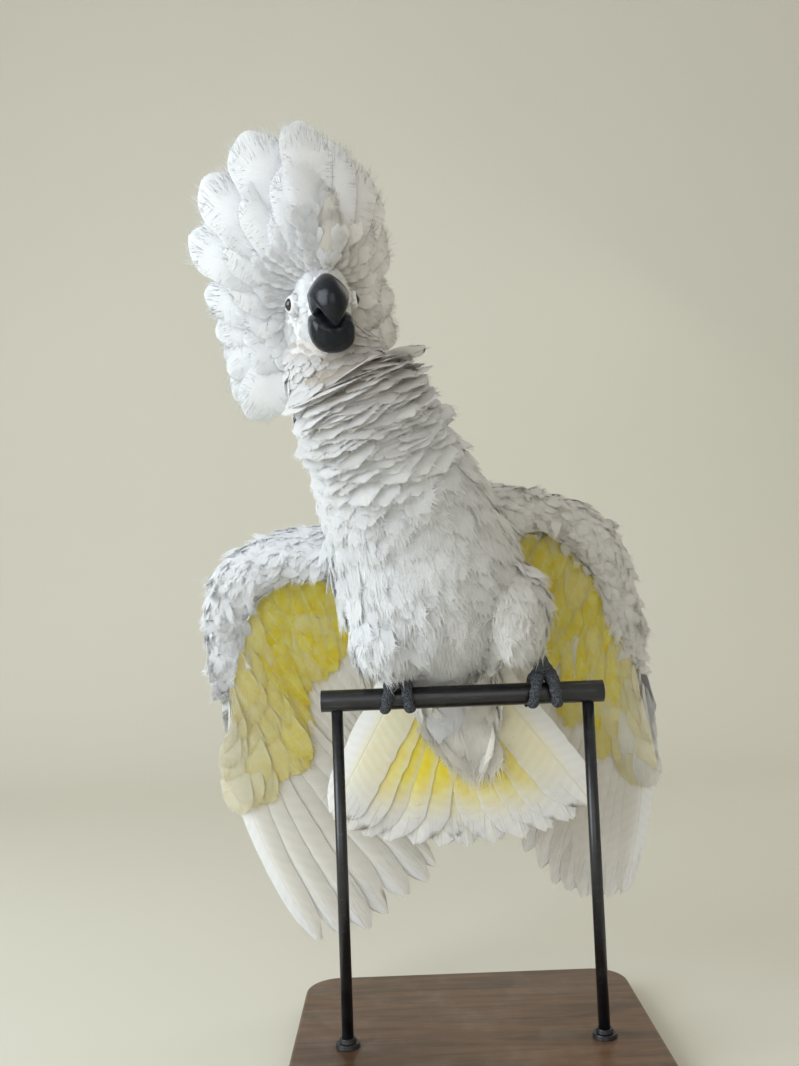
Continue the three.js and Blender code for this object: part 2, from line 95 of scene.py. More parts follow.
FAN = {
    "right": {
        "roots": [[-172, 61, -4], [-173, 55, 16], [-170, 48, 42], [-163, 44, 64], [-140, 46, 82],
                  [-112, 48, 90], [-84, 48, 92]],
        "tips": [[-125, 122, -204], [-99, 124, -201], [-74, 125, -195], [-54, 125, -179], [-29, 125, -163],
                 [-18, 123, -147], [-27, 119, -127], [-36, 114, -103], [-46, 108, -83], [-56, 103, -63],
                 [-62, 99, -47], [-64, 95, -33], [-64, 91, -20], [-62, 88, -8], [-60, 86, 4], [-58, 84, 14],
                 [-56, 82, 24]],
        "bow": [[-40, 14, 8], [-6, 8, 0]],
    },
    "left": {
        "roots": [[141, 60, -6], [132, 54, 30], [122, 48, 60], [110, 44, 88], [88, 46, 108],
                  [60, 48, 114], [34, 48, 112]],
        "tips": [[142, 150, -180], [128, 156, -187], [114, 160, -190], [98, 160, -186], [82, 158, -178],
                 [66, 154, -160], [50, 150, -140], [38, 144, -115], [30, 136, -88], [24, 128, -66],
                 [20, 120, -46], [18, 112, -30], [17, 106, -16], [17, 101, -3], [18, 96, 10], [19, 92, 22],
                 [20, 89, 33]],
        "bow": [[18, 14, 2], [8, 8, 0]],
    },
    "tail": {
        "roots": [[-30, 55, 34], [-11, 56, 30], [8, 55, 32]],
        "tips": [[-104, 66, -86], [-88, 68, -103], [-66, 70, -112], [-36, 71, -118], [-6, 72, -121],
                 [26, 72, -119], [58, 71, -113], [84, 70, -102], [106, 68, -84]],
        "bow": [[0, -4, 0], [0, -4, 0]],
    },
}
FAN_SIZE = {"right": PRIMARIES + SECONDARIES, "left": PRIMARIES + SECONDARIES, "tail": RECTRICES}
# broad head feathers: angle from straight up, reach, set-back of tip, set-back of root, half width
CREST = [
    [1, 113, 0, 14, 18], [-17, 115, 6, 8, 21], [-35, 106, 16, -2, 21], [-54, 92, 26, -10, 20],
    [22, 98, 14, 4, 19], [42, 76, 28, -10, 18], [-8, 107, 42, -14, 23], [-34, 98, 58, -26, 22],
    [18, 88, 58, -24, 21], [-4, 80, 88, -34, 24], [-46, 72, 84, -36, 21],
]
RUFF = [
    [-76, 72, 36, -20, 20], [-97, 66, 42, -24, 19], [-120, 70, 42, -26, 19], [-142, 84, 40, -26, 17],
    [84, 58, 34, -18, 19], [115, 61, 36, -22, 19], [144, 78, 38, -26, 16],
]
FOOT_X = {"right": -44, "left": 57}
TARSUS_TOP = {"right": [-43, -2, 30], "left": [47, -2, 38]}
# toes: sideways place at the root and the tip, and which side of the perch they close round
TOES = [[-4.2, -9.5, 1], [4.6, 7.5, 1], [-4.4, -11, -1], [4.4, 9.5, -1]]
PERCH_RADIUS, PERCH_HALF = 7.5, 98
TOE_START, TOE_END, CLAW_END = 12, 128, 186
TOE_RADIUS, TOE_TIP_RADIUS, CLAW_RADIUS = 4.6, 3.5, 2.5
TOE_GAP = 0.4
ROD_RADIUS, ROD_OFFSET = 4, 87
BASE_X, BASE_Y, BASE_THICK, BASE_CORNER, BASE_SHIFT_Y = 250, 210, 18, 26, 22


# ------------------------------------------------------------------ small geometry helpers
def unit(v):
    return v / np.maximum(np.linalg.norm(v, axis=-1, keepdims=True), 1e-12)


def dot(a, b):
    return (a * b).sum(-1, keepdims=True)


def flat_to(v, n):
    """v laid into the plane whose normal is n."""
    return unit(v - n * dot(v, n))


def smoothstep(low, high, x):
    t = np.clip((x - low) / (high - low), 0, 1)
    return t * t * (3 - 2 * t)


def to_world(p):
    """Millimetres from the perch axis to metres from the floor."""
    return np.asarray(p, float) * MM + np.array([0, 0, PERCH_HEIGHT])


def curve(points, at):
    """A smooth curve through points, centripetal Catmull-Rom, read at 0..1."""
    pts = np.asarray(points, float)
    at = np.clip(np.atleast_1d(np.asarray(at, float)), 0, 1)
    last = len(pts) - 1
    i = np.minimum(np.floor(at * last).astype(int), last - 1)
    w = (at * last - i)[:, None]
    padded = np.vstack([2 * pts[0] - pts[1], pts, 2 * pts[-1] - pts[-2]])
    a, b, c, d = (padded[i + k] for k in range(4))
    d0, d1, d2 = (np.maximum(np.linalg.norm(q - p, axis=1, keepdims=True), 1e-9) ** 0.5
                  for p, q in ((a, b), (b, c), (c, d)))
    m1 = ((b - a) / d0 - (c - a) / (d0 + d1) + (c - b) / d1) * d1
    m2 = ((c - b) / d1 - (d - b) / (d1 + d2) + (d - c) / d2) * d1
    return b + m1 * w + (3 * (c - b) - 2 * m1 - m2) * w ** 2 + (2 * (b - c) + m1 + m2) * w ** 3


HEAD_TURN = np.array(Matrix.Rotation(math.radians(HEAD_YAW), 3, "Z")
                     @ Matrix.Rotation(math.radians(-HEAD_PITCH), 3, "X")
                     @ Matrix.Rotation(math.radians(-HEAD_LEAN), 3, "Y"))


def head_dir(side, up, forward):
    """A direction on the head: side to the bird's left, up, forward out of the face."""
    v = np.stack(np.broadcast_arrays(np.asarray(side, float), -np.asarray(forward, float),
                                     np.asarray(up, float)), -1)
    return v @ HEAD_TURN.T


def head_at(side, up, forward):
    return to_world(head_dir(side, up, forward) + np.array(HEAD_ORIGIN))


def local_head(p):
    """World point to millimetres on the head: side, up, forward."""
    q = ((np.asarray(p) - to_world(HEAD_ORIGIN)) / MM) @ HEAD_TURN
    return q[..., 0], q[..., 2], -q[..., 1]


class Limb:
    """A smooth limb of elliptical rings along a table of centres and half sizes."""

    def __init__(self, rows, side=(1, 0, 0), arm=False, start=0.0, end=1.0):
        self.rows = np.array(rows, float)
        self.side = np.asarray(side, float)
        self.arm = arm
        self.start, self.end = start, end
        self.t = np.linspace(start, end, 64)
        self.centre, self.along, self.a, self.b, self.ra, self.rb = self.rings(self.t)

    def rings(self, t, depth=0.0):
        path, step = self.rows[:, :3], 1e-3
        centre = curve(path, t)
        along = unit(curve(path, np.asarray(t) + step) - curve(path, np.asarray(t) - step))
        sizes = np.column_stack([self.rows[:, 3:5], 20.0 * np.arange(len(self.rows))])
        half = np.maximum(curve(sizes, t)[:, :2] - depth, 0.2)
        if self.arm:
            b = flat_to(np.array([0.0, 1.0, 0.0]), along)
            a = unit(np.cross(along, b))
        else:
            a = flat_to(self.side, along)
            b = unit(np.cross(along, a))
        return to_world(centre), along, a, b, half[:, 0] * MM, half[:, 1] * MM

    def read(self, points):
        """For each point: how far outside the limb, place along it, angle round it, its direction."""
        q = points[:, None, :] - self.centre[None]
        x = (q * self.a).sum(-1) / self.ra
        y = (q * self.b).sum(-1) / self.rb
        z = (q * self.along).sum(-1) / self.ra
        level = np.sqrt(x * x + y * y + z * z)
        k = level.argmin(1)
        rows = np.arange(len(points))
        outside = (level[rows, k] - 1) * np.minimum(self.ra, self.rb)[k]
        return outside, self.t[k], np.arctan2(y[rows, k], x[rows, k]), self.along[k]


def head_rows(rows):
    out = []
    for forward, up, wide, high in rows:
        p = head_dir(0, up, forward) + np.array(HEAD_ORIGIN)
        out.append([*p, wide, high])
    return out


HEAD_SIDE = head_dir(1, 0, 0)
LIMBS = {
    "head": Limb(head_rows(HEAD_ROWS), HEAD_SIDE),
    "spine": Limb(SPINE),
    "arm_right": Limb(ARM["right"], arm=True),
    "arm_left": Limb(ARM["left"], arm=True),
    "thigh_right": Limb(THIGH["right"]),
    "thigh_left": Limb(THIGH["left"]),
    "rump": Limb(TAIL_BASE),
}
LIMB_NAMES = list(LIMBS)


class Fan:
    """The smooth sheet that a row of flight feathers lies in: s counts feathers, v runs to the tip."""

    def __init__(self, name):
        data = FAN[name]
        self.count = FAN_SIZE[name]
        self.roots, self.tips = data["roots"], data["tips"]
        self.bow = np.array(data["bow"], float)

    def at(self, s, v):
        s, v = (np.asarray(k, float).ravel() for k in np.broadcast_arrays(s, v))
        f = np.clip(s / self.count, 0, 1)
        root, tip = curve(self.roots, f), curve(self.tips, f)
        mix = (f ** 0.6)[:, None]
        ctrl = (root + tip) / 2 + self.bow[0] * (1 - mix) + self.bow[1] * mix
        v = v[:, None]
        return to_world(root * (1 - v) ** 2 + 2 * ctrl * v * (1 - v) + tip * v * v)

    def frame(self, s, v):
        """Point, normal out of the front, and the way to the inner feathers."""
        s, v = (np.asarray(k, float).ravel() for k in np.broadcast_arrays(s, v))
        p = self.at(s, v)
        down = unit(self.at(s, np.minimum(v + 0.02, 1.1)) - self.at(s, v - 0.02))
        inner = unit(self.at(np.minimum(s + 0.15, self.count), v) - self.at(np.maximum(s - 0.15, 0), v))
        normal = unit(np.cross(inner, down))
        normal = np.where(normal[:, 1:2] > 0, -normal, normal)
        return p, normal, flat_to(inner, normal)

    def rows(self, s, v, count):
        """The frame of count feathers, each read at as many places along it as v has for it."""
        return (k.reshape(count, -1, 3) for k in self.frame(s, v))


FANS = {name: Fan(name) for name in FAN}


# ------------------------------------------------------------------ mesh helpers
def read_all(items, key, width=1, kind=float):
    """One value of every item, as an array with width columns."""
    values = np.empty(len(items) * width, dtype=kind)
    items.foreach_get(key, values)
    return values.reshape(-1, width) if width > 1 else values


def new_object(name, mesh, material):
    obj = bpy.data.objects.new(name, mesh)
    bpy.context.scene.collection.objects.link(obj)
    if material is not None:
        mesh.materials.clear()
        mesh.materials.append(material)
    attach(obj, "root")
    return obj


def mesh_from(bm, name, smooth=True):
    for face in bm.faces:
        face.smooth = smooth
    mesh = bpy.data.meshes.new(name)
    bm.to_mesh(mesh)
    bm.free()
    return mesh


def mesh_from_arrays(name, verts, quads, tris, rim, floats, uvs, body=None):
    """One joined mesh from arrays of four- and three-sided faces, with point marks and corner maps.

    Edges between two rim points are kept sharp, so that a thin leaf is shaded flat right to its edge.
    body gives each point the direction out of the body: faces lying along it are shaded with it, as
    soft plumage scatters light evenly.
    """
    mesh = bpy.data.meshes.new(name)
    corners = np.concatenate([quads.ravel(), tris.ravel()]).astype(np.int32)
    starts = np.concatenate([np.arange(0, quads.size, 4), quads.size + np.arange(0, tris.size, 3)])
    mesh.vertices.add(len(verts))
    mesh.vertices.foreach_set("co", verts.astype(np.float32).ravel())
    mesh.loops.add(len(corners))
    mesh.loops.foreach_set("vertex_index", corners)
    mesh.polygons.add(len(starts))
    mesh.polygons.foreach_set("loop_start", starts.astype(np.int32))
    mesh.polygons.foreach_set("use_smooth", np.ones(len(starts), dtype=bool))
    mesh.update(calc_edges=True)
    sharp = mesh.attributes.new("sharp_edge", "BOOLEAN", "EDGE")
    sharp.data.foreach_set("value", rim[read_all(mesh.edges, "vertices", 2, np.int32)].all(axis=1))
    for key, values in floats.items():
        layer = mesh.attributes.new(key, "FLOAT", "POINT")
        layer.data.foreach_set("value", values.astype(np.float32).ravel())
    for key, values in uvs.items():
        layer = mesh.uv_layers.new(name=key)
        layer.data.foreach_set("uv", values[corners].astype(np.float32).ravel())
    if body is not None:
        flat = read_all(mesh.polygons, "normal", 3, np.float32)
        flat = np.repeat(flat, np.diff(np.append(starts, len(corners))), axis=0)
        own = read_all(mesh.corner_normals, "vector", 3, np.float32)
        out = body[corners]
        facing = dot(flat, out)
        share = 0.45 + 0.37 * smoothstep(0.25, 0.75, np.abs(facing))
        outer = np.where(facing < -0.5, -1.0, 1.0) * out
        mesh.normals_split_custom_set(unit(own * (1 - share) + outer * share).tolist())
    return mesh


def tube(bm, centre, a, b, around, shape=None):
    """A grid rolled round a line of rings, welded along its seam and closed at both ends."""
    rows = len(centre)
    made = bmesh.ops.create_grid(bm, x_segments=around, y_segments=rows - 1, size=1.0)["verts"]
    for vert in made:
        turn = round((vert.co.x + 1) / 2 * around) % around
        row = round((vert.co.y + 1) / 2 * (rows - 1))
        angle = 2 * math.pi * turn / around
        x, y = math.cos(angle), math.sin(angle)
        if shape:
            x, y = shape(x, y, row / (rows - 1))
        vert.co = Vector(centre[row] + a[row] * x + b[row] * y)
    bmesh.ops.remove_doubles(bm, verts=made, dist=1e-7)
    made = [v for v in made if v.is_valid]
    rim = {e for v in made for e in v.link_edges if e.is_boundary}
    ends = bmesh.ops.holes_fill(bm, edges=list(rim), sides=0)["faces"]
    bmesh.ops.poke(bm, faces=ends)
    return made


def limb_tube(bm, limb, depth, around=28, rows=40, shape=None):
    t = np.linspace(limb.start, limb.end, rows)
    if isinstance(depth, list):
        depth = np.interp(t, *depth)[:, None]
    centre, _, a, b, ra, rb = limb.rings(t, depth)
    return tube(bm, centre, a * ra[:, None], b * rb[:, None], around, shape)


def outward(bm):
    bmesh.ops.recalc_face_normals(bm, faces=bm.faces[:])


# ------------------------------------------------------------------ node groups and materials
FLOAT = "NodeSocketFloat"


def group(name, inputs, outputs):
    tree = bpy.data.node_groups.new(name, "ShaderNodeTree")
    for label, kind, default in inputs:
        socket = tree.interface.new_socket(name=label, in_out="INPUT", socket_type=kind)
        if default is not None:
            socket.default_value = default
    for label, kind in outputs:
        tree.interface.new_socket(name=label, in_out="OUTPUT", socket_type=kind)
    return tree, tree.nodes.new("NodeGroupInput"), tree.nodes.new("NodeGroupOutput")


class Nodes:
    """Short calls that add a node, set it and wire it."""

    def __init__(self, tree):
        self.tree = tree

    def link(self, source, target):
        self.tree.links.new(source, target)

    def put(self, value, socket):
        if hasattr(value, "is_output"):
            self.link(value, socket)
        elif value is not None:
            socket.default_value = value

    def math(self, operation, a, b=None, c=None, clamp=False):
        node = self.tree.nodes.new("ShaderNodeMath")
        node.operation = operation
        node.use_clamp = clamp
        for value, socket in zip((a, b, c), node.inputs):
            self.put(value, socket)
        return node.outputs[0]

    def step(self, value, low, high, out_low=0.0, out_high=1.0):
        node = self.tree.nodes.new("ShaderNodeMapRange")
        node.interpolation_type = "SMOOTHSTEP"
        for key, item in (("Value", value), ("From Min", low), ("From Max", high),
                          ("To Min", out_low), ("To Max", out_high)):
            self.put(item, node.inputs[key])
        return node.outputs["Result"]

    def mix(self, factor, a, b, blend="MIX"):
        node = self.tree.nodes.new("ShaderNodeMix")
        node.data_type = "RGBA"
        node.blend_type = blend
        node.clamp_factor = True
        self.put(factor, node.inputs["Factor"])
        colours = [s for s in node.inputs if s.type == "RGBA"]
        self.put(a, colours[0])
        self.put(b, colours[1])
        return next(s for s in node.outputs if s.type == "RGBA")

    def noise(self, vector, scale, detail=3.0, rough=0.55, distortion=0.0):
        node = self.tree.nodes.new("ShaderNodeTexNoise")
        self.put(vector, node.inputs["Vector"])
        self.put(scale, node.inputs["Scale"])
        node.inputs["Detail"].default_value = detail
        node.inputs["Roughness"].default_value = rough
        node.inputs["Distortion"].default_value = distortion
        return node.outputs["Fac"]

    def cells(self, vector, scale, feature="DISTANCE_TO_EDGE", output="Distance"):
        node = self.tree.nodes.new("ShaderNodeTexVoronoi")
        node.feature = feature
        self.put(vector, node.inputs["Vector"])
        self.put(scale, node.inputs["Scale"])
        return node.outputs[output]

    def attribute(self, name):
        node = self.tree.nodes.new("ShaderNodeAttribute")
        node.attribute_name = name
        return node.outputs["Fac"]

    def uv(self, name):
        node = self.tree.nodes.new("ShaderNodeUVMap")
        node.uv_map = name
        split = self.tree.nodes.new("ShaderNodeSeparateXYZ")
        self.link(node.outputs[0], split.inputs[0])
        return split.outputs[0], split.outputs[1]

    def place(self):
        return self.tree.nodes.new("ShaderNodeTexCoord").outputs["Object"]

    def stretch(self, vector, scale):
        node = self.tree.nodes.new("ShaderNodeMapping")
        self.link(vector, node.inputs["Vector"])
        node.inputs["Scale"].default_value = scale
        return node.outputs[0]

    def use(self, tree, **inputs):
        node = self.tree.nodes.new("ShaderNodeGroup")
        node.node_tree = tree
        for key, value in inputs.items():
            self.put(value, node.inputs[key.replace("_", " ")])
        return node.outputs

    def wire(self, shader, colour, rough, normal=None):
        """Joins the three results that every finish has to its shader."""
        self.link(colour, shader.inputs["Base Color"])
        self.link(rough, shader.inputs["Roughness"])
        if normal is not None:
            self.link(normal, shader.inputs["Normal"])

    def bump(self, height, strength, distance):
        node = self.tree.nodes.new("ShaderNodeBump")
        node.inputs["Strength"].default_value = strength
        node.inputs["Distance"].default_value = distance
        self.put(height, node.inputs["Height"])
        return node.outputs[0]


def barb_group():
    """Barbs slanting from the shaft to the edge, gathered in clumps, and the shaft itself."""
    tree, source, sink = group(
        "feather_barbs",
        [("Across", FLOAT, 0.5), ("Along", FLOAT, 0.5), ("Barbs", FLOAT, 60.0), ("Slant", FLOAT, 0.35),
         ("Shaft", FLOAT, 0.04), ("Quill", FLOAT, 1.0)],
        [("Height", FLOAT), ("Shaft", FLOAT), ("Web", FLOAT)])
    n = Nodes(tree)
    across, along, barbs, slant, shaft, strength = source.outputs[:6]
    side = n.math("ABSOLUTE", n.math("SUBTRACT", across, 0.5))
    phase = n.math("SUBTRACT", along, n.math("MULTIPLY", side, slant))
    seed = tree.nodes.new("ShaderNodeCombineXYZ")
    n.link(across, seed.inputs[0])
    n.link(n.math("MULTIPLY", phase, 9.0), seed.inputs[1])
    wobble = n.noise(seed.outputs[0], 3.0, 2.0)
    turns = n.math("MULTIPLY_ADD", phase, barbs, n.math("MULTIPLY", wobble, 2.5))
    wave = n.math("MULTIPLY_ADD", n.math("SINE", n.math("MULTIPLY", turns, 2 * math.pi)), 0.5, 0.5)
    clump = n.step(n.math("PINGPONG", n.math("MULTIPLY", turns, 0.13), 0.5), 0.0, 0.5)
    web = n.math("MULTIPLY_ADD", wave, 0.45, n.math("MULTIPLY", clump, 0.55))
    quill = n.math("MULTIPLY", n.step(side, shaft, n.math("MULTIPLY", shaft, 0.35)), strength)
    n.link(n.math("MAXIMUM", web, n.math("MULTIPLY", quill, 1.6)), sink.inputs["Height"])
    n.link(quill, sink.inputs["Shaft"])
    n.link(web, sink.inputs["Web"])
    return tree


def plumage_group():
    """White plumage: bright tips over painted grey shade at the roots, with lemon yellow and painted brown
    shade where marked.
    """
    tree, source, sink = group(
        "plumage_colour",
        [("Tone", FLOAT, 0.0), ("Warm", FLOAT, 0.0), ("Yellow", FLOAT, 0.0), ("Under", FLOAT, 0.0),
         ("Along", FLOAT, 1.0), ("Place", "NodeSocketVector", None)],
        [("Colour", "NodeSocketColor")])
    n = Nodes(tree)
    tone, warm, yellow, under, along, place = source.outputs[:6]
    # Warm turns the white into a darker cream: painted shade, mostly for parts turned from the light. Towards
    # its root each feather darkens to grey: painted shade where the feathers overlap.
    white = n.mix(warm, (0.89, 0.905, 0.93, 1), (0.86, 0.825, 0.745, 1))
    base = n.mix(warm, (0.80, 0.815, 0.84, 1), (0.70, 0.655, 0.57, 1))
    colour = n.mix(n.step(along, 0.0, 0.5), base, white)
    # Under lays painted brown shade over the roots, under the chin and in the throat.
    brown = n.math("MULTIPLY", under, n.step(along, 1.0, 0.35, 0.35, 1.0))
    colour = n.mix(brown, colour, (0.36, 0.265, 0.16, 1))
    mottle = n.noise(place, 90.0, 3.0)
    lemon = n.mix(n.step(mottle, 0.3, 0.7), (0.94, 0.74, 0.025, 1), (0.95, 0.84, 0.16, 1))
    colour = n.mix(yellow, colour, lemon)
    dust = n.noise(place, 45.0, 4.0)
    shade = n.math("ADD", n.math("MULTIPLY", tone, 0.03), n.math("MULTIPLY_ADD", dust, 0.08, 0.95))
    grey = tree.nodes.new("ShaderNodeCombineColor")
    for socket in grey.inputs:
        n.link(shade, socket)
    n.link(n.mix(1.0, colour, grey.outputs[0], "MULTIPLY"), sink.inputs["Colour"])
    return tree


BARBS = barb_group()
PLUMAGE = plumage_group()


def material(name, **constants):
    mat = bpy.data.materials.new(name)
    mat.use_nodes = True
    shader = mat.node_tree.nodes["Principled BSDF"]
    for key, value in constants.items():
        shader.inputs[key.replace("_", " ")].default_value = value
    return mat, Nodes(mat.node_tree), shader


def feather_material(name, barbs, slant, shaft, bump, grain, soft):
    """Plumage read from each feather's own map: barbs, shaft and the marks it carries."""
    mat, n, shader = material(name, Sheen_Weight=0.25, Sheen_Roughness=0.5, Specular_IOR_Level=0.2,
                              Subsurface_Weight=soft, Subsurface_Scale=0.006)
    shader.inputs["Subsurface Radius"].default_value = (1.0, 0.95, 0.85)
    across, along = n.uv("Vane")
    vane = n.use(BARBS, Across=across, Along=along, Barbs=barbs, Slant=slant, Shaft=shaft,
                 Quill=n.attribute("quill"))
    place = n.place()
    colour = n.use(PLUMAGE, Tone=n.attribute("tone"), Warm=n.attribute("warm"), Yellow=n.attribute("yellow"),
                   Under=n.attribute("under"), Along=along, Place=place)["Colour"]
    colour = n.mix(n.math("MULTIPLY", vane["Web"], grain), colour, (0.55, 0.54, 0.50, 1), "MULTIPLY")
    colour = n.mix(vane["Shaft"], colour, (0.80, 0.76, 0.62, 1))
    n.wire(shader, colour, n.math("MULTIPLY_ADD", vane["Web"], 0.18, 0.55), n.bump(vane["Height"], 0.5, bump))
    return mat


def skin_material():
    """Down and bare skin under the coat, with the coat's painted shade; noise patches pick between the grey
    shaded root colour and the white.
    """
    mat, n, shader = material("downy_skin", Sheen_Weight=0.3, Specular_IOR_Level=0.2)
    place = n.place()
    fuzz = n.noise(place, 900.0, 4.0, 0.7)
    clots = n.noise(place, 140.0, 3.0)
    along = n.step(clots, 0.2, 0.7, 0.25, 0.6)
    colour = n.use(PLUMAGE, Tone=0.0, Warm=n.attribute("warm"), Yellow=n.attribute("yellow"),
                   Under=n.attribute("under"), Along=along, Place=place)["Colour"]
    colour = n.mix(n.math("MULTIPLY", fuzz, 0.25), colour, (0.45, 0.44, 0.42, 1))
    relief = n.bump(n.math("ADD", fuzz, clots), 0.6, 0.0008)
    n.wire(shader, colour, n.step(fuzz, 0.2, 0.8, 0.75, 0.95), relief)
    return mat


def horn_material(name, powder, gloss):
    """Black horn with growth streaks and fine scratches, dusted blue-grey with powder down."""
    mat, n, shader = material(name, Specular_IOR_Level=0.24, Coat_Weight=0.05, Coat_Roughness=0.12)
    place = n.place()
    growth = n.noise(n.stretch(place, (90, 90, 500)), 1.0, 4.0, 0.6, 0.4)
    dust = n.noise(place, 160.0, 5.0, 0.65)
    scratch = n.noise(n.stretch(place, (900, 900, 160)), 1.0, 3.0)
    film = n.math("MULTIPLY", n.step(dust, 0.50, 0.78), powder)
    colour = n.mix(film, (0.005, 0.0065, 0.010, 1), (0.06, 0.08, 0.10, 1))
    colour = n.mix(n.math("MULTIPLY", growth, 0.3), colour, (0.014, 0.017, 0.023, 1))
    rough = n.math("ADD", n.math("MULTIPLY_ADD", film, 0.30, gloss), n.math("MULTIPLY", scratch, 0.12))
    height = n.math("ADD", n.math("MULTIPLY", growth, 0.8), n.math("MULTIPLY", scratch, 0.25))
    n.wire(shader, colour, rough, n.bump(height, 0.35, 0.0005))
    return mat


def eye_material():
    mat, n, shader = material("wet_eye", Specular_IOR_Level=0.5, Coat_Weight=0.3, Coat_Roughness=0.02)
    fleck = n.noise(n.place(), 1400.0, 2.0)
    colour = n.mix(n.math("MULTIPLY", fleck, 0.5), (0.006, 0.005, 0.005, 1), (0.030, 0.018, 0.012, 1))
    n.wire(shader, colour, n.step(fleck, 0.0, 1.0, 0.05, 0.10))
    return mat


def lid_material():
    mat, n, shader = material("bare_lid", Specular_IOR_Level=0.35)
    pores = n.cells(n.place(), 1800.0)
    colour = n.mix(n.step(pores, 0.0, 0.2), (0.74, 0.75, 0.77, 1), (0.88, 0.89, 0.91, 1))
    n.wire(shader, colour, n.step(pores, 0.0, 0.3, 0.7, 0.5), n.bump(pores, 0.5, 0.0003))
    return mat


def scale_material():
    """Dark grey granular scales with pale dust in the creases."""
    mat, n, shader = material("foot_scales", Specular_IOR_Level=0.3)
    place = n.place()
    wander = n.noise(place, 300.0, 2.0)
    grain = n.cells(place, 620.0)
    fine = n.cells(place, 1500.0)
    tops = n.step(grain, 0.05, 0.25)
    colour = n.mix(tops, (0.085, 0.092, 0.105, 1), (0.006, 0.008, 0.011, 1))
    colour = n.mix(n.math("MULTIPLY", wander, 0.15), colour, (0.05, 0.055, 0.065, 1))
    height = n.math("ADD", tops, n.math("MULTIPLY", n.step(fine, 0.0, 0.3), 0.3))
    n.wire(shader, colour, n.step(grain, 0.0, 0.4, 0.85, 0.52), n.bump(height, 0.7, 0.0006))
    return mat


def wear_group():
    """Fine scratches and handling dust for the stand's made parts."""
    tree, source, sink = group(
        "made_surface_wear",
        [("Place", "NodeSocketVector", None), ("Scale", FLOAT, 1.0)],
        [("Dust", FLOAT), ("Scratch", FLOAT)])
    n = Nodes(tree)
    place, scale = source.outputs[:2]
    dust = n.noise(place, n.math("MULTIPLY", scale, 60.0), 5.0, 0.6)
    scratch = n.noise(n.stretch(place, (40, 900, 900)), n.math("MULTIPLY", scale, 1.0), 3.0)
    n.link(n.step(dust, 0.45, 0.75), sink.inputs["Dust"])
    n.link(n.step(scratch, 0.58, 0.72), sink.inputs["Scratch"])
    return tree


WEAR = wear_group()


def enamel_material():
    mat, n, shader = material("black_enamel", Specular_IOR_Level=0.5, Coat_Weight=0.1, Coat_Roughness=0.3)
    place = n.place()
    wear = n.use(WEAR, Place=place, Scale=1.0)
    peel = n.noise(place, 700.0, 2.0)
    colour = n.mix(n.math("MULTIPLY", wear["Dust"], 0.25), (0.006, 0.006, 0.008, 1), (0.035, 0.035, 0.037, 1))
    colour = n.mix(n.math("MULTIPLY", wear["Scratch"], 0.4), colour, (0.09, 0.09, 0.09, 1))
    n.wire(shader, colour, n.math("MULTIPLY_ADD", wear["Dust"], 0.22, 0.30), n.bump(peel, 0.25, 0.0002))
    return mat


def wood_material():
    mat, n, shader = material("dark_hardwood", Specular_IOR_Level=0.4, Coat_Weight=0.25, Coat_Roughness=0.25)
    place = n.place()
    wear = n.use(WEAR, Place=place, Scale=0.6)
    rings = n.noise(n.stretch(place, (6, 60, 60)), 1.0, 3.0, 0.5, 1.4)
    grain = n.noise(n.stretch(place, (25, 700, 700)), 1.0, 4.0, 0.6)
    colour = n.mix(n.step(rings, 0.35, 0.65), (0.075, 0.034, 0.016, 1), (0.17, 0.082, 0.038, 1))
    colour = n.mix(n.math("MULTIPLY", grain, 0.55), colour, (0.045, 0.020, 0.010, 1))
    colour = n.mix(n.math("MULTIPLY", wear["Dust"], 0.15), colour, (0.35, 0.30, 0.25, 1))
    n.wire(shader, colour, n.math("MULTIPLY_ADD", grain, 0.2, 0.32), n.bump(grain, 0.3, 0.0003))
    return mat


def backdrop_material(name, colour):
    mat, n, shader = material(name, Roughness=0.9, Specular_IOR_Level=0.15)
    tint = n.noise(n.place(), 2.5, 3.0)
    darker = (*(c * 0.96 for c in colour[:3]), 1)
    n.link(n.mix(tint, darker, colour), shader.inputs["Base Color"])
    return mat


CONTOUR = feather_material("contour_feathers", barbs=22.0, slant=0.5, shaft=0.05, bump=0.00018,
                           grain=0.08, soft=0.35)
FLIGHT = feather_material("flight_feathers", barbs=150.0, slant=0.16, shaft=0.03, bump=0.00028,
                          grain=0.12, soft=0.15)
CREST_PLUMES = feather_material("crest_feathers", barbs=60.0, slant=0.35, shaft=0.03, bump=0.00015,
                                grain=0.04, soft=0.4)
DOWNY_SKIN = skin_material()
HORN = horn_material("bill_horn", powder=0.12, gloss=0.17)
CLAW_HORN = horn_material("claw_horn", powder=0.35, gloss=0.30)
EYE = eye_material()
LID = lid_material()
SCALES = scale_material()
ENAMEL = enamel_material()
WOOD = wood_material()


# ------------------------------------------------------------------ painted shade on skin and coat
def painted_shade_marks(points, limb, t, angle):
    """Painted shade for places on the body: a warmer, darker white on the bird's left side, turned from the
    light, and over the rump under the tail; brown painted shade under the chin and down the throat.
    """
    x, z = points[:, 0] / MM, (points[:, 2] - PERCH_HEIGHT) / MM
    side, up, forward = local_head(points)
    # painted shade: warmer on the bird's left, the side turned from the light
    warm = smoothstep(-70, 60, x + 0.25 * (z - 120)) * 0.75
    warm = np.where(limb == LIMB_NAMES.index("rump"), 0.85, warm)
    warm = np.where(limb == 0, smoothstep(-4, 12, side) * 0.8, warm)
    spine = limb == LIMB_NAMES.index("spine")
    front = smoothstep(-0.2, 0.6, np.sin(angle))
    # brown painted shade under the chin and down the front of the throat
    throat = smoothstep(0.36, 0.16, t) * front * smoothstep(-50, 20, side + 0.3 * up + 20)
    under = np.where(spine, 0.62 * throat, 0)
    chin = (np.hypot(side / 14, (up + 43) / 10) < 1) & (forward > -6)
    return np.clip(warm, 0, 1), np.where(chin, 0.75, under)


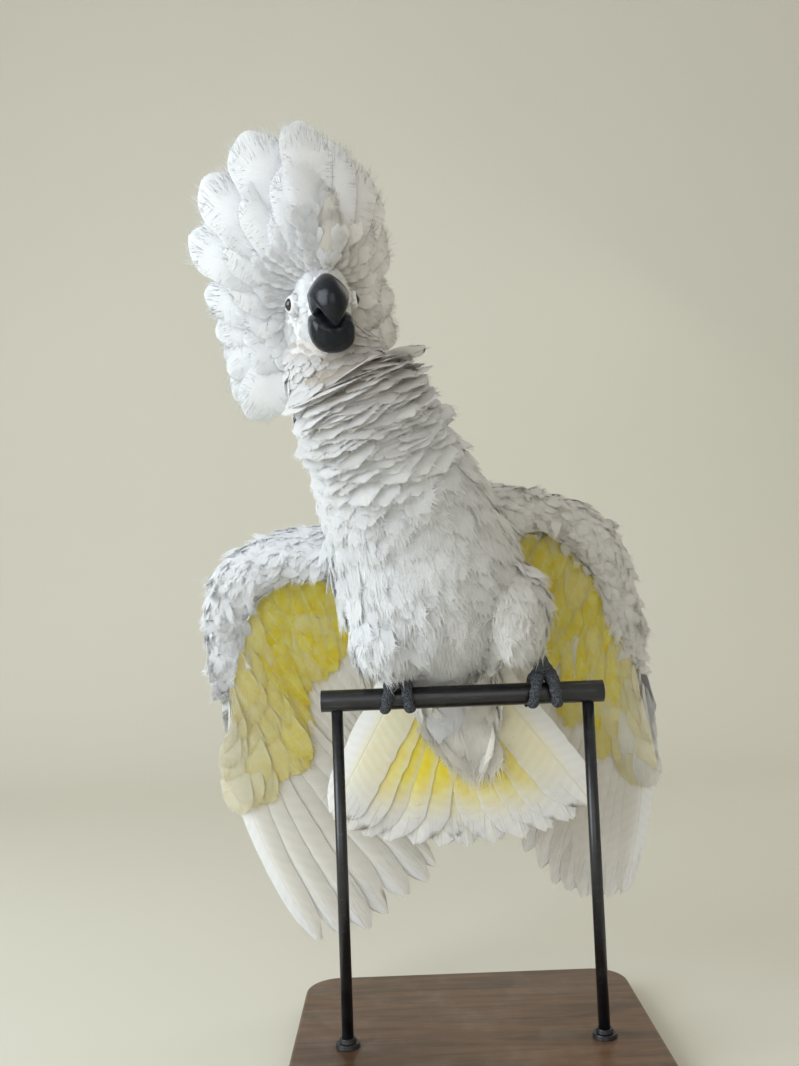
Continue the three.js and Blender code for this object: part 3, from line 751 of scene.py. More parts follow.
def read_limbs(points, reach=0.007):
    """Nearest limb of each point and the coat's direction blended over near limbs."""
    flow = np.zeros_like(points)
    best = np.full(len(points), 1e9)
    which = np.zeros(len(points), int)
    place = np.zeros(len(points))
    turn = np.zeros(len(points))
    side, up, forward = local_head(points)
    from_bill = head_dir(side, up + 2, forward - 24)
    for index, name in enumerate(LIMB_NAMES):
        outside, t, angle, along = LIMBS[name].read(points)
        if name == "head":
            lie = unit(unit(from_bill) + 0.4 * head_dir(0, 0, -1))
        elif name.startswith("arm"):
            out = -1.0 if name.endswith("right") else 1.0
            lie = unit(along + np.array([0.25 * out, 0.1, -0.35]))
        else:
            lie = along
        weight = np.exp(-np.maximum(outside + 0.01, 0) / reach)
        flow += lie * weight[:, None]
        closer = outside < best
        best = np.where(closer, outside, best)
        which = np.where(closer, index, which)
        place = np.where(closer, t, place)
        turn = np.where(closer, angle, turn)
    return unit(flow), which, place, turn


# ------------------------------------------------------------------ the skin
def make_skin():
    """Every limb of flesh as one closed skin, lying inside the coat."""
    bm = bmesh.new()
    depths = {"head": [[0, 0.3, 0.8], [1.8, 2.2, 8]], "spine": [[0, 0.15, 0.5, 1], [7, 10, 9, 8]],
              "arm_right": 5.0, "arm_left": 5.0, "thigh_right": 5.5, "thigh_left": 5.5, "rump": 4.0}
    for name, limb in LIMBS.items():
        limb_tube(bm, limb, depths[name])
    outward(bm)
    rough = bpy.data.objects.new("rough_body", mesh_from(bm, "rough_body"))
    bpy.context.scene.collection.objects.link(rough)
    remesh = rough.modifiers.new("one_skin", "REMESH")
    remesh.mode = "VOXEL"
    remesh.voxel_size = 0.0024
    smooth = rough.modifiers.new("soften", "SMOOTH")
    smooth.factor = 0.5
    smooth.iterations = 10
    evaluated = rough.evaluated_get(bpy.context.evaluated_depsgraph_get())
    mesh = bpy.data.meshes.new_from_object(evaluated)
    mesh.name = "skin"
    bpy.data.objects.remove(rough)
    mesh.polygons.foreach_set("use_smooth", np.ones(len(mesh.polygons), dtype=bool))
    skin = new_object("skin", mesh, DOWNY_SKIN)
    bpy.context.view_layer.objects.active = skin
    skin.select_set(True)
    mesh.uv_layers.new(name="OFBake")
    bpy.ops.object.mode_set(mode="EDIT")
    bpy.ops.mesh.select_all(action="SELECT")
    bpy.ops.uv.smart_project(angle_limit=math.radians(66), island_margin=0.002)
    bpy.ops.object.mode_set(mode="OBJECT")
    skin.select_set(False)
    points = read_all(mesh.vertices, "co", 3)
    # painted shade, the same as the coat's
    warm, under = painted_shade_marks(points, *read_limbs(points)[1:])
    for key, values in (("warm", warm), ("under", under), ("yellow", np.zeros(len(points)))):
        mesh.attributes.new(key, "FLOAT", "POINT").data.foreach_set("value", values.astype(np.float32))
    nodes = ["head", "neck", "trunk", "tail_base"]
    nodes += [f"{part}_{side}" for side in SIDES for part in ("wing_arm", "wing_hand", "thigh")]
    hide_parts(*nodes)
    return skin


class SkinMap:
    """Corners, normals and map places of the skin's triangles, for planting feathers."""

    def __init__(self, skin):
        self.skin = skin
        mesh = skin.data
        mesh.calc_loop_triangles()
        loops = read_all(mesh.loop_triangles, "loops", 3, np.int32)
        index = read_all(mesh.loops, "vertex_index", kind=np.int32)[loops]
        self.co = read_all(mesh.vertices, "co", 3)[index]
        self.normal = read_all(mesh.vertices, "normal", 3)[index]
        self.uv = read_all(mesh.uv_layers["OFBake"].data, "uv", 2)[loops]
        cross = np.cross(self.co[:, 1] - self.co[:, 0], self.co[:, 2] - self.co[:, 0])
        self.area = np.linalg.norm(cross, axis=1) / 2
        self.tree = None

    def scatter(self, count, seed):
        rng = np.random.default_rng(seed)
        pick = rng.choice(len(self.area), count, p=self.area / self.area.sum())
        a, b = rng.random(count), rng.random(count)
        over = a + b > 1
        a, b = np.where(over, 1 - a, a), np.where(over, 1 - b, b)
        w = np.stack([1 - a - b, a, b], 1)[:, :, None]
        return (self.co[pick] * w).sum(1), unit((self.normal[pick] * w).sum(1)), (self.uv[pick] * w).sum(1)

    def nearest_uv(self, points):
        """Map place of the skin triangle nearest to each point."""
        if self.tree is None:
            middle = self.co.mean(1)
            self.tree = KDTree(len(middle))
            for i, p in enumerate(middle):
                self.tree.insert(p, i)
            self.tree.balance()
        found = [self.tree.find(p)[1] for p in points]
        return self.uv[found].mean(1)


NEIGHBOURS = list(itertools.product((-1, 0, 1), repeat=3))


def spread_out(points, radius):
    """Keeps points no closer than each one's own radius, in the order given."""
    grid = {}
    keep = []
    keys = np.floor(points / radius.max()).astype(int)
    for i, (key, p, r) in enumerate(zip(map(tuple, keys), points, radius)):
        near = (points[j] for dx, dy, dz in NEIGHBOURS
                for j in grid.get((key[0] + dx, key[1] + dy, key[2] + dz), ()))
        if all((p[0] - q[0]) ** 2 + (p[1] - q[1]) ** 2 + (p[2] - q[2]) ** 2 >= r * r for q in near):
            keep.append(i)
            grid.setdefault(key, []).append(i)
    return np.array(keep)


# ------------------------------------------------------------------ feathers
def vane_template(across, along, gather=1.0):
    """A closed lens-like leaf: x across -1..1, y along 0..1, z +1 above, -1 below, 0 on the rim.

    gather above 1 crowds the rows toward the tip, where the outline turns quickly.
    """
    bm = bmesh.new()
    bmesh.ops.create_grid(bm, x_segments=across, y_segments=along, size=1.0)
    rim = {v for v in bm.verts if v.is_boundary}
    for vert in bm.verts:
        vert.co.y = 1 - ((1 - vert.co.y) / 2) ** gather
        vert.co.z = 0.0 if vert in rim else 1.0
    lower = bmesh.ops.duplicate(bm, geom=bm.verts[:] + bm.edges[:] + bm.faces[:])["geom"]
    for item in lower:
        if isinstance(item, bmesh.types.BMVert):
            item.co.z = -item.co.z
    bmesh.ops.reverse_faces(bm, faces=[f for f in lower if isinstance(f, bmesh.types.BMFace)])
    bmesh.ops.remove_doubles(bm, verts=bm.verts[:], dist=1e-6)
    return template_arrays(bm)


def barb_template():
    """One loose barb: a three-sided spike of unit length and radius."""
    bm = bmesh.new()
    bmesh.ops.create_cone(bm, segments=3, radius1=1.0, radius2=0.0, depth=1.0, cap_ends=True)
    bmesh.ops.translate(bm, verts=bm.verts, vec=(0, 0, 0.5))
    return template_arrays(bm)


def template_arrays(bm):
    bm.verts.index_update()
    verts = np.array([v.co[:] for v in bm.verts])
    faces = np.array([[v.index for v in f.verts] for f in bm.faces])
    bm.free()
    return verts, faces


BARB = barb_template()
BARB_FLATNESS = 0.22
BAKE_PATCH = 0.003


def outline(y, point):
    """Half width of a vane along its length; point 0 is broad and rounded, 1 is a narrow lance."""
    y = np.clip(y, 0, 1)
    rise = 0.34 + 0.66 * np.sin(np.pi / 2 * np.clip(y / 0.52, 0, 1))
    fall = np.clip(1 - (np.clip(y - 0.60, 0, 1) / 0.42) ** 2.6, 0.02, 1) ** 0.5
    lance = np.sin(np.pi * y ** 0.75) ** 0.8 * 0.9 + 0.10 * (1 - y)
    return (rise * fall) * (1 - point) + lance * point


def loose_barbs(place, count, fringe, rng):
    """Spikes that stand out of the rims of count leaves, and their places on each leaf's map."""
    barbs, first, out, on, thick, nap = fringe
    shape = (count, barbs)
    sign = np.where(rng.random(shape) < 0.5, -1.0, 1.0)
    tip = rng.random(shape) < 0.45
    x0 = np.where(tip, rng.uniform(-0.85, 0.85, shape), sign * rng.uniform(0.45, 0.9, shape))
    y0 = np.where(tip, rng.uniform(0.78, 0.93, shape), first + (0.88 - first) * rng.random(shape) ** 0.8)
    far = rng.uniform(0.35, 1.0, shape)
    x2 = np.where(tip, x0 * 1.1, sign * (1 + out * far))
    y2 = np.where(tip, 0.98 + on * far, y0 + on * (0.4 + 0.6 * far))
    start = place(x0, y0, rng.uniform(-0.7, 0.3, shape), y0)
    end = place(x2, y2, np.zeros(shape), y0)
    loose = (rng.random(shape) < nap)[..., None]
    x3, y3 = rng.uniform(-0.8, 0.8, shape), rng.uniform(0.40, 0.85, shape)
    y4 = y3 + on * (0.8 + far)
    x4 = np.clip(x3 * 1.1 + 0.25 * rng.normal(size=shape), -1, 1)
    start = np.where(loose, place(x3, y3, 0.8 * np.ones(shape), y3), start)
    end = np.where(loose, place(x4, y4, 3 + 2 * far, np.minimum(y4, 0.9)), end)
    length = np.linalg.norm(end - start, axis=-1, keepdims=True)
    end = end + rng.normal(size=(count, barbs, 3)) * length * 0.12
    axis = unit(end - start)
    face = place(x0, y0, np.ones(shape), y0) - place(x0, y0, -np.ones(shape), y0)
    ring_a = unit(np.cross(axis, unit(face) + 0.3 * rng.normal(size=face.shape)))
    ring_b = BARB_FLATNESS * np.cross(axis, ring_a)
    ring_a, ring_b, reach = (k[:, :, None] for k in (ring_a, ring_b, end - start))
    spike = BARB[0]
    thick = thick * MM
    grown = start[:, :, None] + (spike[:, 0:1] * thick * ring_a + spike[:, 1:2] * thick * ring_b
                                 + spike[:, 2:3] * reach)
    share = spike[:, 2][None, None, :, None]
    low, high = (np.stack(k, -1)[:, :, None] for k in ((x0, y0), (x2, y2)))
    return grown.reshape(count, -1, 3), (low * (1 - share) + high * share).reshape(count, -1, 2)


def join_leaves(name, place, count, grid, marks, bake, fringe, seed, finish, body=None):
    """Joins many leaves, each with a fringe of loose barbs at its rim, into one mesh.

    place(x, y, z, w) lays points: x across, y along, z above or below, w where the width is read.
    fringe is barbs a leaf, first place along, how far they reach out and on, half thickness in mm,
    and the share of them that lie loose over the vane.
    """
    verts, faces = vane_template(*grid)
    size = len(verts)
    rng = np.random.default_rng(seed)
    x, y, z = (np.broadcast_to(verts[None, :, k], (count, size)) for k in range(3))
    rim = (z == 0) & (y > 0.25)
    fray = np.broadcast_to(marks["fray"], (count,))[:, None]
    x1 = x * (1 - fray * rng.random((count, size)) * rim)
    y1 = y * (1 - fray * 0.35 * rng.random((count, size)) * rim)
    quads = (faces[None] + (np.arange(count) * size)[:, None, None]).reshape(-1, 4)
    barbs, barb_spots = loose_barbs(place, count, fringe, rng)
    spike, sides = BARB
    offset = count * size + np.arange(count * fringe[0]) * len(spike)
    tris = (sides[None] + offset[:, None, None]).reshape(-1, 3)
    pos = [place(x1, y1, z, y), barbs]
    spots = [np.stack([x, y], -1), barb_spots]
    where = np.concatenate([k.reshape(-1, 2) for k in spots])
    owner = np.concatenate([np.repeat(np.arange(count), k.shape[1]) for k in spots])
    floats = {}
    for key in ("tone", "warm", "under", "yellow", "quill"):
        value = marks[key]
        if callable(value):
            floats[key] = value(where[:, 0], where[:, 1], owner)
        else:
            floats[key] = np.broadcast_to(np.asarray(value, float), (count,))[owner]
    vane = np.clip(np.stack([where[:, 0] * 0.5 + 0.5, where[:, 1]], 1), 0, 1)
    maps = {"OFBake": bake[owner] + (vane - 0.5) * BAKE_PATCH, "Vane": vane}
    everything = np.concatenate([k.reshape(-1, 3) for k in pos])
    edge = np.zeros(len(everything), dtype=bool)
    edge[:count * size] = np.tile(verts[:, 2] == 0, count)
    out = None if body is None else body[owner]
    mesh = mesh_from_arrays(name, everything, quads, tris, edge, floats, maps, out)
    return new_object(name, mesh, finish)


def planted(root, lie, normal, p):
    """Places points of short feathers that stand on the skin and bend over along their lie."""
    count = len(root)
    col = {k: np.broadcast_to(np.asarray(v, float), (count,))[:, None] for k, v in p.items()}
    side = unit(np.cross(lie, normal))

    def place(x, y, z, w):
        width = outline(w, col["point"]) * col["width"] / 2
        across = x * width
        reach = col["length"] * (y - 0.16 * (1 - col["point"]) * x * x * y ** 2)
        forward = reach * np.cos(col["lift"]) - col["length"] * 0.15 * np.abs(col["curl"]) * y ** 2
        rise = reach * np.sin(col["lift"]) - col["length"] * col["curl"] * y ** 2
        rise = rise - col["cup"] * width * x * x
        rise = rise + z * col["thick"] * (1 - 0.75 * np.clip(y, 0, 1)) * (1 - np.minimum(x * x, 1) * 0.8)
        rise = rise + np.sin(col["spin"]) * across
        across = np.cos(col["spin"]) * across + col["sway"] * col["length"] * y ** 2
        return (root[:, None] + lie[:, None] * forward[..., None] + side[:, None] * across[..., None]
                + normal[:, None] * rise[..., None])

    return place


def take(p, keep):
    return {k: (v[keep] if isinstance(v, np.ndarray) else v) for k, v in p.items()}


ZONE = {
    # spacing, length, width, lift in degrees, curl, cup, point, fray, thickness, mess; sizes in mm
    "face": [2.0, 7.5, 4.8, 1, 0.02, 0.05, 0.10, 0.06, 0.08, 0.08],
    "cheek": [3.0, 14, 9.5, 2, 0.03, 0.06, 0.05, 0.06, 0.10, 0.10],
    "nape": [4.6, 27, 17, 8, 0.08, 0.08, 0.05, 0.06, 0.16, 0.12],
    "neck": [5.0, 19, 22, 16, 0.12, 0.10, 0.00, 0.05, 0.16, 0.08],
    "chest": [4.5, 28, 18, 10, 0.09, 0.06, 0.00, 0.06, 0.13, 0.13],
    "belly": [4.3, 26, 17, 10, 0.09, 0.06, 0.00, 0.06, 0.13, 0.18],
    "back": [6.6, 37, 26, 8, 0.08, 0.08, 0.05, 0.05, 0.20, 0.10],
    "arm": [3.5, 14, 8.5, 20, 0.26, 0.14, 0.15, 0.10, 0.13, 0.40],
    "thigh": [4.0, 19, 12.5, 13, 0.12, 0.08, 0.00, 0.08, 0.13, 0.24],
    "rump": [6.8, 36, 22, 8, 0.08, 0.10, 0.05, 0.06, 0.20, 0.12],
}
ZONE_NAMES = list(ZONE)


def zone_weights(points, limb, t, angle):
    """How much each zone's feather style counts at each place."""
    forward = local_head(points)[2]
    w = {k: np.zeros(len(points)) for k in ZONE_NAMES}
    name = np.array(LIMB_NAMES)[limb]
    head = name == "head"
    w["face"] = np.where(head, smoothstep(-12, 6, forward), 0)
    w["nape"] = np.where(head, smoothstep(-22, -40, forward), 0)
    w["cheek"] = np.where(head, 1 - w["face"] - w["nape"], 0).clip(0)
    spine = name == "spine"
    front = smoothstep(-0.25, 0.35, np.sin(angle))
    neck = smoothstep(0.44, 0.34, t)
    belly = smoothstep(0.55, 0.66, t)
    w["neck"] = np.where(spine, neck, 0)
    w["back"] = np.where(spine, (1 - neck) * (1 - front), 0)
    w["belly"] = np.where(spine, belly * front, 0)
    w["chest"] = np.where(spine, (1 - neck) * front * (1 - belly), 0)
    w["arm"] = np.where(np.char.startswith(name, "arm"), 1.0, 0)
    w["thigh"] = np.where(np.char.startswith(name, "thigh"), 1.0, 0)
    w["rump"] = np.where(name == "rump", 1.0, 0)
    table = np.stack([w[k] for k in ZONE_NAMES], 1)
    return table / np.maximum(table.sum(1, keepdims=True), 1e-6)


def leaf_marks(count, rng, warm, under, fray, quill=0.2):
    return {"tone": rng.normal(size=count), "warm": warm, "under": under, "yellow": 0.0, "quill": quill,
            "fray": fray}


def bare_places(points):
    """Where no feather grows: bill, eyes, and the hollow that the nape's broad feathers close."""
    side, up, forward = local_head(points)
    bill = (forward > 9) & (np.hypot(side / 11.5, (up + 9) / 23) < 1)
    hollow = (forward < -20) & (np.hypot(side, up) < 46)
    eye = np.hypot((forward - 3.5) / 8.0, up / 6.2) < 1
    return bill | hollow | (eye & (np.abs(side) > 10) & (np.abs(side) < 40))


def swell(points, size):
    """Soft random hills over the body, about size metres apart."""
    return np.array([noise.noise(Vector(p / size)) for p in points])


def ruffle(points, limb, t, angle):
    """How far each feather of the throat stands out, and how much of its length each one keeps."""
    spine = limb == LIMB_NAMES.index("spine")
    thigh = np.char.startswith(np.array(LIMB_NAMES)[limb], "thigh")
    toward = smoothstep(-0.1, 0.7, np.sin(angle) + 0.45 * np.cos(angle))
    side, up = local_head(points)[:2]
    throat = smoothstep(-38, -50, up - 0.3 * side)
    ruffled = np.where(spine, smoothstep(0.50, 0.24, t) * toward * throat, 0)
    short = np.where(spine, 0.55 + 0.45 * throat, 1.0)
    short = np.where(thigh, 1 - 0.5 * smoothstep(0.6, 0.95, t), short)
    return ruffled * (0.72 + 0.56 * swell(points, 0.022)), short


# coat pieces: zones, wing side, leaf grid, and the fringe as join_leaves reads it
COAT = {
    "coat_face": (["face"], None, (2, 3, 1.5), (12, 0.3, 0.35, 0.30, 0.16, 0.3)),
    "coat_head": (["cheek", "nape"], None, (4, 4, 1.7), (20, 0.3, 0.25, 0.20, 0.24, 0.25)),
    "coat_neck": (["neck"], None, (6, 4, 1.7), (34, 0.3, 0.10, 0.18, 0.32, 0.08)),
    "coat_chest": (["chest"], None, (6, 5, 1.8), (84, 0.3, 0.22, 0.22, 0.42, 0.22)),
    "coat_belly": (["belly"], None, (6, 5, 1.8), (96, 0.25, 0.35, 0.32, 0.42, 0.28)),
    "coat_back": (["back"], None, (6, 5, 1.7), (30, 0.3, 0.14, 0.10, 0.30, 0.05)),
    "coat_wing_right": (["arm"], "right", (4, 4, 1.6), (40, 0.2, 0.60, 0.50, 0.30, 0.42)),
    "coat_wing_left": (["arm"], "left", (4, 4, 1.6), (40, 0.2, 0.60, 0.50, 0.30, 0.42)),
    "coat_legs": (["thigh", "rump"], None, (4, 5, 1.7), (64, 0.25, 0.38, 0.34, 0.38, 0.28)),
}


def contour_feathers(skin_map):
    """The body's own coat, planted over the whole skin and joined zone by zone."""
    root, normal, uv = skin_map.scatter(90000, 3)
    lie, limb, t, angle = read_limbs(root)
    weights = zone_weights(root, limb, t, angle)
    style = weights @ np.array([ZONE[k] for k in ZONE_NAMES])
    free = ~bare_places(root)
    coat = [k[free] for k in (root, normal, uv, lie, limb, t, angle, weights, style)]
    order = spread_out(coat[0], coat[-1][:, 0] * MM * (1.0))
    root, normal, uv, lie, limb, t, angle, weights, style = (k[order] for k in coat)
    long, wide, lift, curl, cup, point, fray, thick, mess = style.T[1:]
    rng = np.random.default_rng(5)
    count = len(root)
    lie = flat_to(lie + mess[:, None] * rng.normal(size=(count, 3)), normal)
    # painted shade: warmer on the side turned from the light, brown under the chin
    warm, under = painted_shade_marks(root, limb, t, angle)
    ruffled, short = ruffle(root, limb, t, angle)
    puff = 1 + 0.30 * swell(root, 0.030)

    def jitter(spread):
        return 1 + spread * rng.normal(size=count)

    p = {
        "length": long * MM * jitter(0.14) * short * (1 + 0.15 * ruffled),
        "width": wide * MM * jitter(0.14) * short * (1 + 0.75 * ruffled),
        "lift": np.radians(lift * puff + 55 * ruffled) * jitter(0.15),
        "curl": curl * jitter(0.2),
        "cup": cup * jitter(0.2),
        "point": np.clip(point * jitter(0.5), 0, 1),
        "thick": thick * MM,
        "sway": 0.06 * rng.normal(size=count),
        "spin": 0.08 * rng.normal(size=count),
    }
    marks = leaf_marks(count, rng, warm, under, fray)
    zone = weights.argmax(1)
    wing = np.where(root[:, 0] > SHOULDER_MIDDLE_X * MM, "left", "right")
    for number, (name, (members, side, grid, fringe)) in enumerate(COAT.items()):
        keep = np.isin(zone, [ZONE_NAMES.index(m) for m in members])
        if side:
            keep &= wing == side
        place = planted(root[keep], lie[keep], normal[keep], take(p, keep))
        barbs = fringe[0]
        join_leaves(name, place, int(keep.sum()), grid, take(marks, keep), uv[keep], (barbs, *fringe[1:]),
                    20 + number, CONTOUR, body=normal[keep])


# ------------------------------------------------------------------ long feathers on their own paths
def read_rows(table, y):
    """Reads a (count, rows, ...) table at places y (count, points), going on straight past the end."""
    rows = table.shape[1]
    at = np.asarray(y) * (rows - 1)
    low = np.clip(np.floor(at).astype(int), 0, rows - 2)
    part = at - low
    index = np.arange(table.shape[0])[:, None]
    if table.ndim == 3:
        part = part[..., None]
    return table[index, low] * (1 - part) + table[index, low + 1] * part


def pathed(path, normal, inner, width, p):
    """Places points of long feathers along their own curved paths."""
    count = len(path)
    col = {k: np.broadcast_to(np.asarray(v, float), (count,))[:, None] for k, v in p.items()}
    along = unit(np.gradient(path, axis=1))

    def place(x, y, z, w):
        centre, up, side = read_rows(path, y), read_rows(normal, y), read_rows(inner, y)
        web = np.where(x > 0, col["inner"], 1 - col["inner"]) * 2
        half = np.maximum(read_rows(width, np.clip(w, 0, 1)), 0) / 2 * web
        off = x * half
        body = 1 - 0.7 * np.clip(y, 0, 1)
        rise = z * col["thick"] * body * (1 - 0.8 * np.minimum(x * x, 1)) - col["cup"] * half * x * x
        rise = rise + np.tan(col["tilt"]) * off
        rise = rise + z * col["thick"] * col["ridge"] * body * np.exp(-(x / 0.14) ** 2)
        back = -(x * x) * half * col["sweep"] * np.clip(y, 0, 1.2)
        return (centre + side * off[..., None] + up * rise[..., None]
                + read_rows(along, np.clip(y, 0, 1)) * back[..., None])

    return place


def atlas(count):
    """A neat grid of map places for big single feathers."""
    side = math.ceil(math.sqrt(count))
    i = np.arange(count)
    return (np.stack([i % side, i // side], 1) + 0.5) / side


def web_width(y, base, tip, wide=0.22):
    """Width along a long feather: narrow at the quill, then an even web with a rounded end."""
    rise = smoothstep(0.0, wide, y) * (1 - base) + base
    fall = np.sqrt(np.clip(1 - np.clip((y - tip) / (1.004 - tip), 0, 1) ** 2.0, 0.0, 1))
    return rise * fall


def flight_feathers(side):
    fan = FANS[side]
    rows = 30
    v = np.linspace(0.0, 1.0, rows)
    for part, first, last in (("primaries", 0, PRIMARIES), ("secondaries", PRIMARIES, fan.count)):
        number = np.arange(first, last)
        s = number + 0.5
        count = len(s)
        at, normal, inner = fan.rows(np.repeat(s, rows), np.tile(v, count), count)
        rng = np.random.default_rng(40 + first)
        wide = (30 if part == "primaries" else 34) * MM * (1 + 0.04 * rng.normal(size=count))
        if part == "primaries":
            wide = wide * np.interp(number, [0, 2, 9], [0.80, 0.95, 1.0])
        width = wide[:, None] * web_width(v, 0.30, 0.86)[None]
        near = np.interp(s, [0, 6, 12, 21], [0.06, 0.30, 0.85, 1.0])
        far = np.interp(s, [0, 8, 12, 21], [0.30, 0.42, 0.62, 0.75])

        def yellow(x, y, owner, near=near, far=far):
            web = smoothstep(-0.25, 0.30, x) * smoothstep(1.0, 0.55, y / far[owner])
            return web * near[owner] * smoothstep(1.05, 0.85, np.abs(x))

        shade = rng.normal(size=count) * 0.5
        # painted shade: the inner web is darker and warmer than the outer one
        marks = {"tone": lambda x, y, owner: shade[owner] + 0.8 - 3.4 * smoothstep(-0.05, 0.45, x),
                 "warm": lambda x, y, owner: 0.15 + 0.8 * smoothstep(-0.1, 0.4, x), "under": 0.0,
                 "yellow": yellow, "quill": 0.7, "fray": 0.06}
        p = {"inner": 0.62, "thick": 0.45 * MM, "cup": 0.08, "tilt": math.radians(8), "sweep": 0.35,
             "ridge": 0.9}
        place = pathed(at, normal, inner, width, p)
        piece = join_leaves(f"{part}_{side}_feathers", place, count, (8, rows - 1), marks, atlas(count),
                            (110, 0.2, 0.05, 0.02, 0.09, 0.0), 50 + first, FLIGHT)
        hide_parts(f"{part}_{side}")


def covert_rows(side, front):
    """Overlapping covert feathers on the front or the back of the wing's fan."""
    fan = FANS[side]
    rng = np.random.default_rng(70 + (side == "left") * 2 + front)
    if front:
        plan = [(0.02, 1.3, 36, 22), (0.09, 1.3, 40, 23), (0.17, 1.3, 44, 24), (0.25, 1.25, 48, 25)]
    else:
        plan = [(-0.02, 1.3, 26, 19), (0.03, 1.2, 28, 20), (0.09, 1.1, 32, 22), (0.17, 1.0, 38, 24),
                (0.26, 1.05, 46, 25)]
    rows = 25
    u = np.linspace(0, 1, rows)
    pieces = []
    for start, step, length, width in plan:
        s = np.arange(0.2, fan.count - 0.1, 0.92 / step)
        s = s + 0.15 * rng.normal(size=len(s))
        pieces.append(np.stack(np.broadcast_arrays(s, start, length, width), 1))
    data = np.vstack(pieces)
    count = len(data)
    s0, v0 = np.clip(data[:, 0], 0.1, fan.count - 0.1), data[:, 1] + 0.02 * rng.normal(size=count)
    long = data[:, 2] * MM * (1 + 0.12 * rng.normal(size=count))
    reach = np.linalg.norm(fan.at(s0, 1.0) - fan.at(s0, 0.0), axis=1)
    grid_v = (v0[:, None] + u[None] * (long / reach)[:, None]).ravel()
    at, normal, inner = fan.rows(np.repeat(s0, rows), grid_v, count)
    face = 1.0 if front else -1.0
    height = (1.2 + 3.0 * np.clip(1 - data[:, 1] / 0.3, 0, 1))[:, None] * MM
    lift = height + (0.0016 * np.sin(np.pi * u) + 0.0006 * u)[None] * (1 + 0.4 * rng.normal(size=(count, 1)))
    at = at + normal * (face * lift)[..., None]
    width = (data[:, 3] * MM * (1 + 0.10 * rng.normal(size=count)))[:, None] * web_width(u, 0.45, 0.62)[None]
    share = s0 / fan.count
    strength = np.zeros(count)
    if front:
        strength = np.interp(share, [0.0, 0.12, 0.28, 0.45, 1.0], [0.35, 0.60, 0.85, 1.0, 1.0])
        strength = strength * (1 + 0.10 * rng.normal(size=count))
        strength = np.where(rng.random(count) < 0.05, strength * 0.3, strength)

    def yellow(x, y, owner):
        return np.clip(strength[owner] * smoothstep(1.35, 0.80, np.abs(x)) * (0.85 + 0.15 * y), 0, 1)

    marks = {"tone": rng.normal(size=count) * 0.7, "warm": 0.5 if front else 0.25, "under": 0.0,
             "yellow": yellow, "quill": 0.4, "fray": 0.05}
    p = {"inner": 0.5, "thick": 0.22 * MM, "cup": 0.04, "tilt": math.radians(3) * face, "sweep": 0.3,
         "ridge": 0.35}
    place = pathed(at, normal * face, inner, width, p)
    name = f"{'under' if front else 'upper'}_coverts_{side}"
    join_leaves(name, place, count, (6, 7, 1.7), marks, atlas(count),
                (56, 0.3, 0.14, 0.12, 0.32, 0.12), 80 + front, CREST_PLUMES,
                body=normal[:, rows // 2] * face)


def tail_feathers():
    fan = FANS["tail"]
    rows = 26
    v = np.linspace(0.0, 1.0, rows)
    s = np.arange(RECTRICES) + 0.5
    count = len(s)
    at, normal, inner = fan.rows(np.repeat(s, rows), np.tile(v, count), count)
    middle = RECTRICES / 2
    outer = np.abs(s - middle) / middle
    toward = np.where(s < middle, 1.0, -1.0)
    at = at + normal * ((outer * 5 - 1.5) * MM)[:, None, None]
    inner = inner * toward[:, None, None]
    rng = np.random.default_rng(91)
    width = (40 * MM * (1 + 0.03 * rng.normal(size=count)))[:, None] * web_width(v, 0.35, 0.84)[None]
    deep = np.clip(1.0 - 0.75 * smoothstep(0.62, 1.0, outer), 0, 1)

    def yellow(x, y, owner):
        web = smoothstep(-0.45, 0.05, x) * smoothstep(0.92, 0.62, y) * smoothstep(1.15, 0.88, np.abs(x))
        return web * deep[owner]

    shade = rng.normal(size=count) * 0.5
    # painted shade: the inner web is darker than the outer one
    marks = {"tone": lambda x, y, owner: shade[owner] + 0.6 - 1.6 * smoothstep(0.0, 0.6, x), "warm": 0.4,
             "under": 0.0, "yellow": yellow, "quill": 0.9, "fray": 0.07}
    p = {"inner": 0.60, "thick": 0.5 * MM, "cup": 0.06, "tilt": math.radians(5), "sweep": 0.30,
         "ridge": 0.9}
    place = pathed(at, normal, inner, width, p)
    tail = join_leaves("tail_feathers", place, count, (8, rows - 1), marks, atlas(count),
                       (120, 0.2, 0.05, 0.025, 0.09, 0.0), 92, FLIGHT)
    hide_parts("tail")


def front_rows():
    """The foremost broad head feathers, in order of angle."""
    return np.array(sorted(CREST[:6] + RUFF), float)


def nested_rows(angle, share, ahead):
    """Rows for shorter feathers lying a little in front of the foremost ones."""
    front = front_rows()
    reach, back, root, half = (np.interp(angle, front[:, 0], front[:, k]) for k in (1, 2, 3, 4))
    u = 0.15 + 0.73 * share
    depth = root * (1 - u) ** 2 + (root + 7) * 2 * u * (1 - u) - back * u * u
    return np.stack([angle, reach * share, -depth - ahead, root + 2 + 0 * angle, half], -1)


def lobe_table():
    """Every broad feather of crest and ruff: angle, reach, set-backs, half width, root distance."""
    rng = np.random.default_rng(101)
    front = front_rows()
    between = (front[1:, 0] + front[:-1, 0]) / 2
    between = between[(between < -1) | (between > 30)]
    second = nested_rows(between + rng.uniform(-2, 2, len(between)), 0.76, 3.0)
    shown = front[(front[:, 0] < -10) | (front[:, 0] > 30), 0]
    third = nested_rows(shown, 0.56, 4.5)
    third[:, 4] *= 0.85
    under = front + np.array([0, 0, 9, -4, 0])
    under[:, 0] += rng.uniform(6, 11, len(front))
    under[:, 1] *= 0.93
    table = [front, second, third, under, np.array(CREST[6:], float)]
    table.append(np.array([[7, 70, -9, 15, 9], [10, 56, -14, 15, 8]], float))
    for angle in (165, 180, -165, 150, -150):
        table.append(np.array([[angle, 66 + rng.uniform(-4, 4), 68, -36, 20]]))
    for angle in (-110, 110, -80, 80, -135, 135):
        table.append(np.array([[angle, 50, 84, -44, 19]]))
    for angle in (-30, 0, 30, 60, -60):
        table.append(np.array([[angle, 54, 92, -44, 20]]))
    return np.vstack(table)


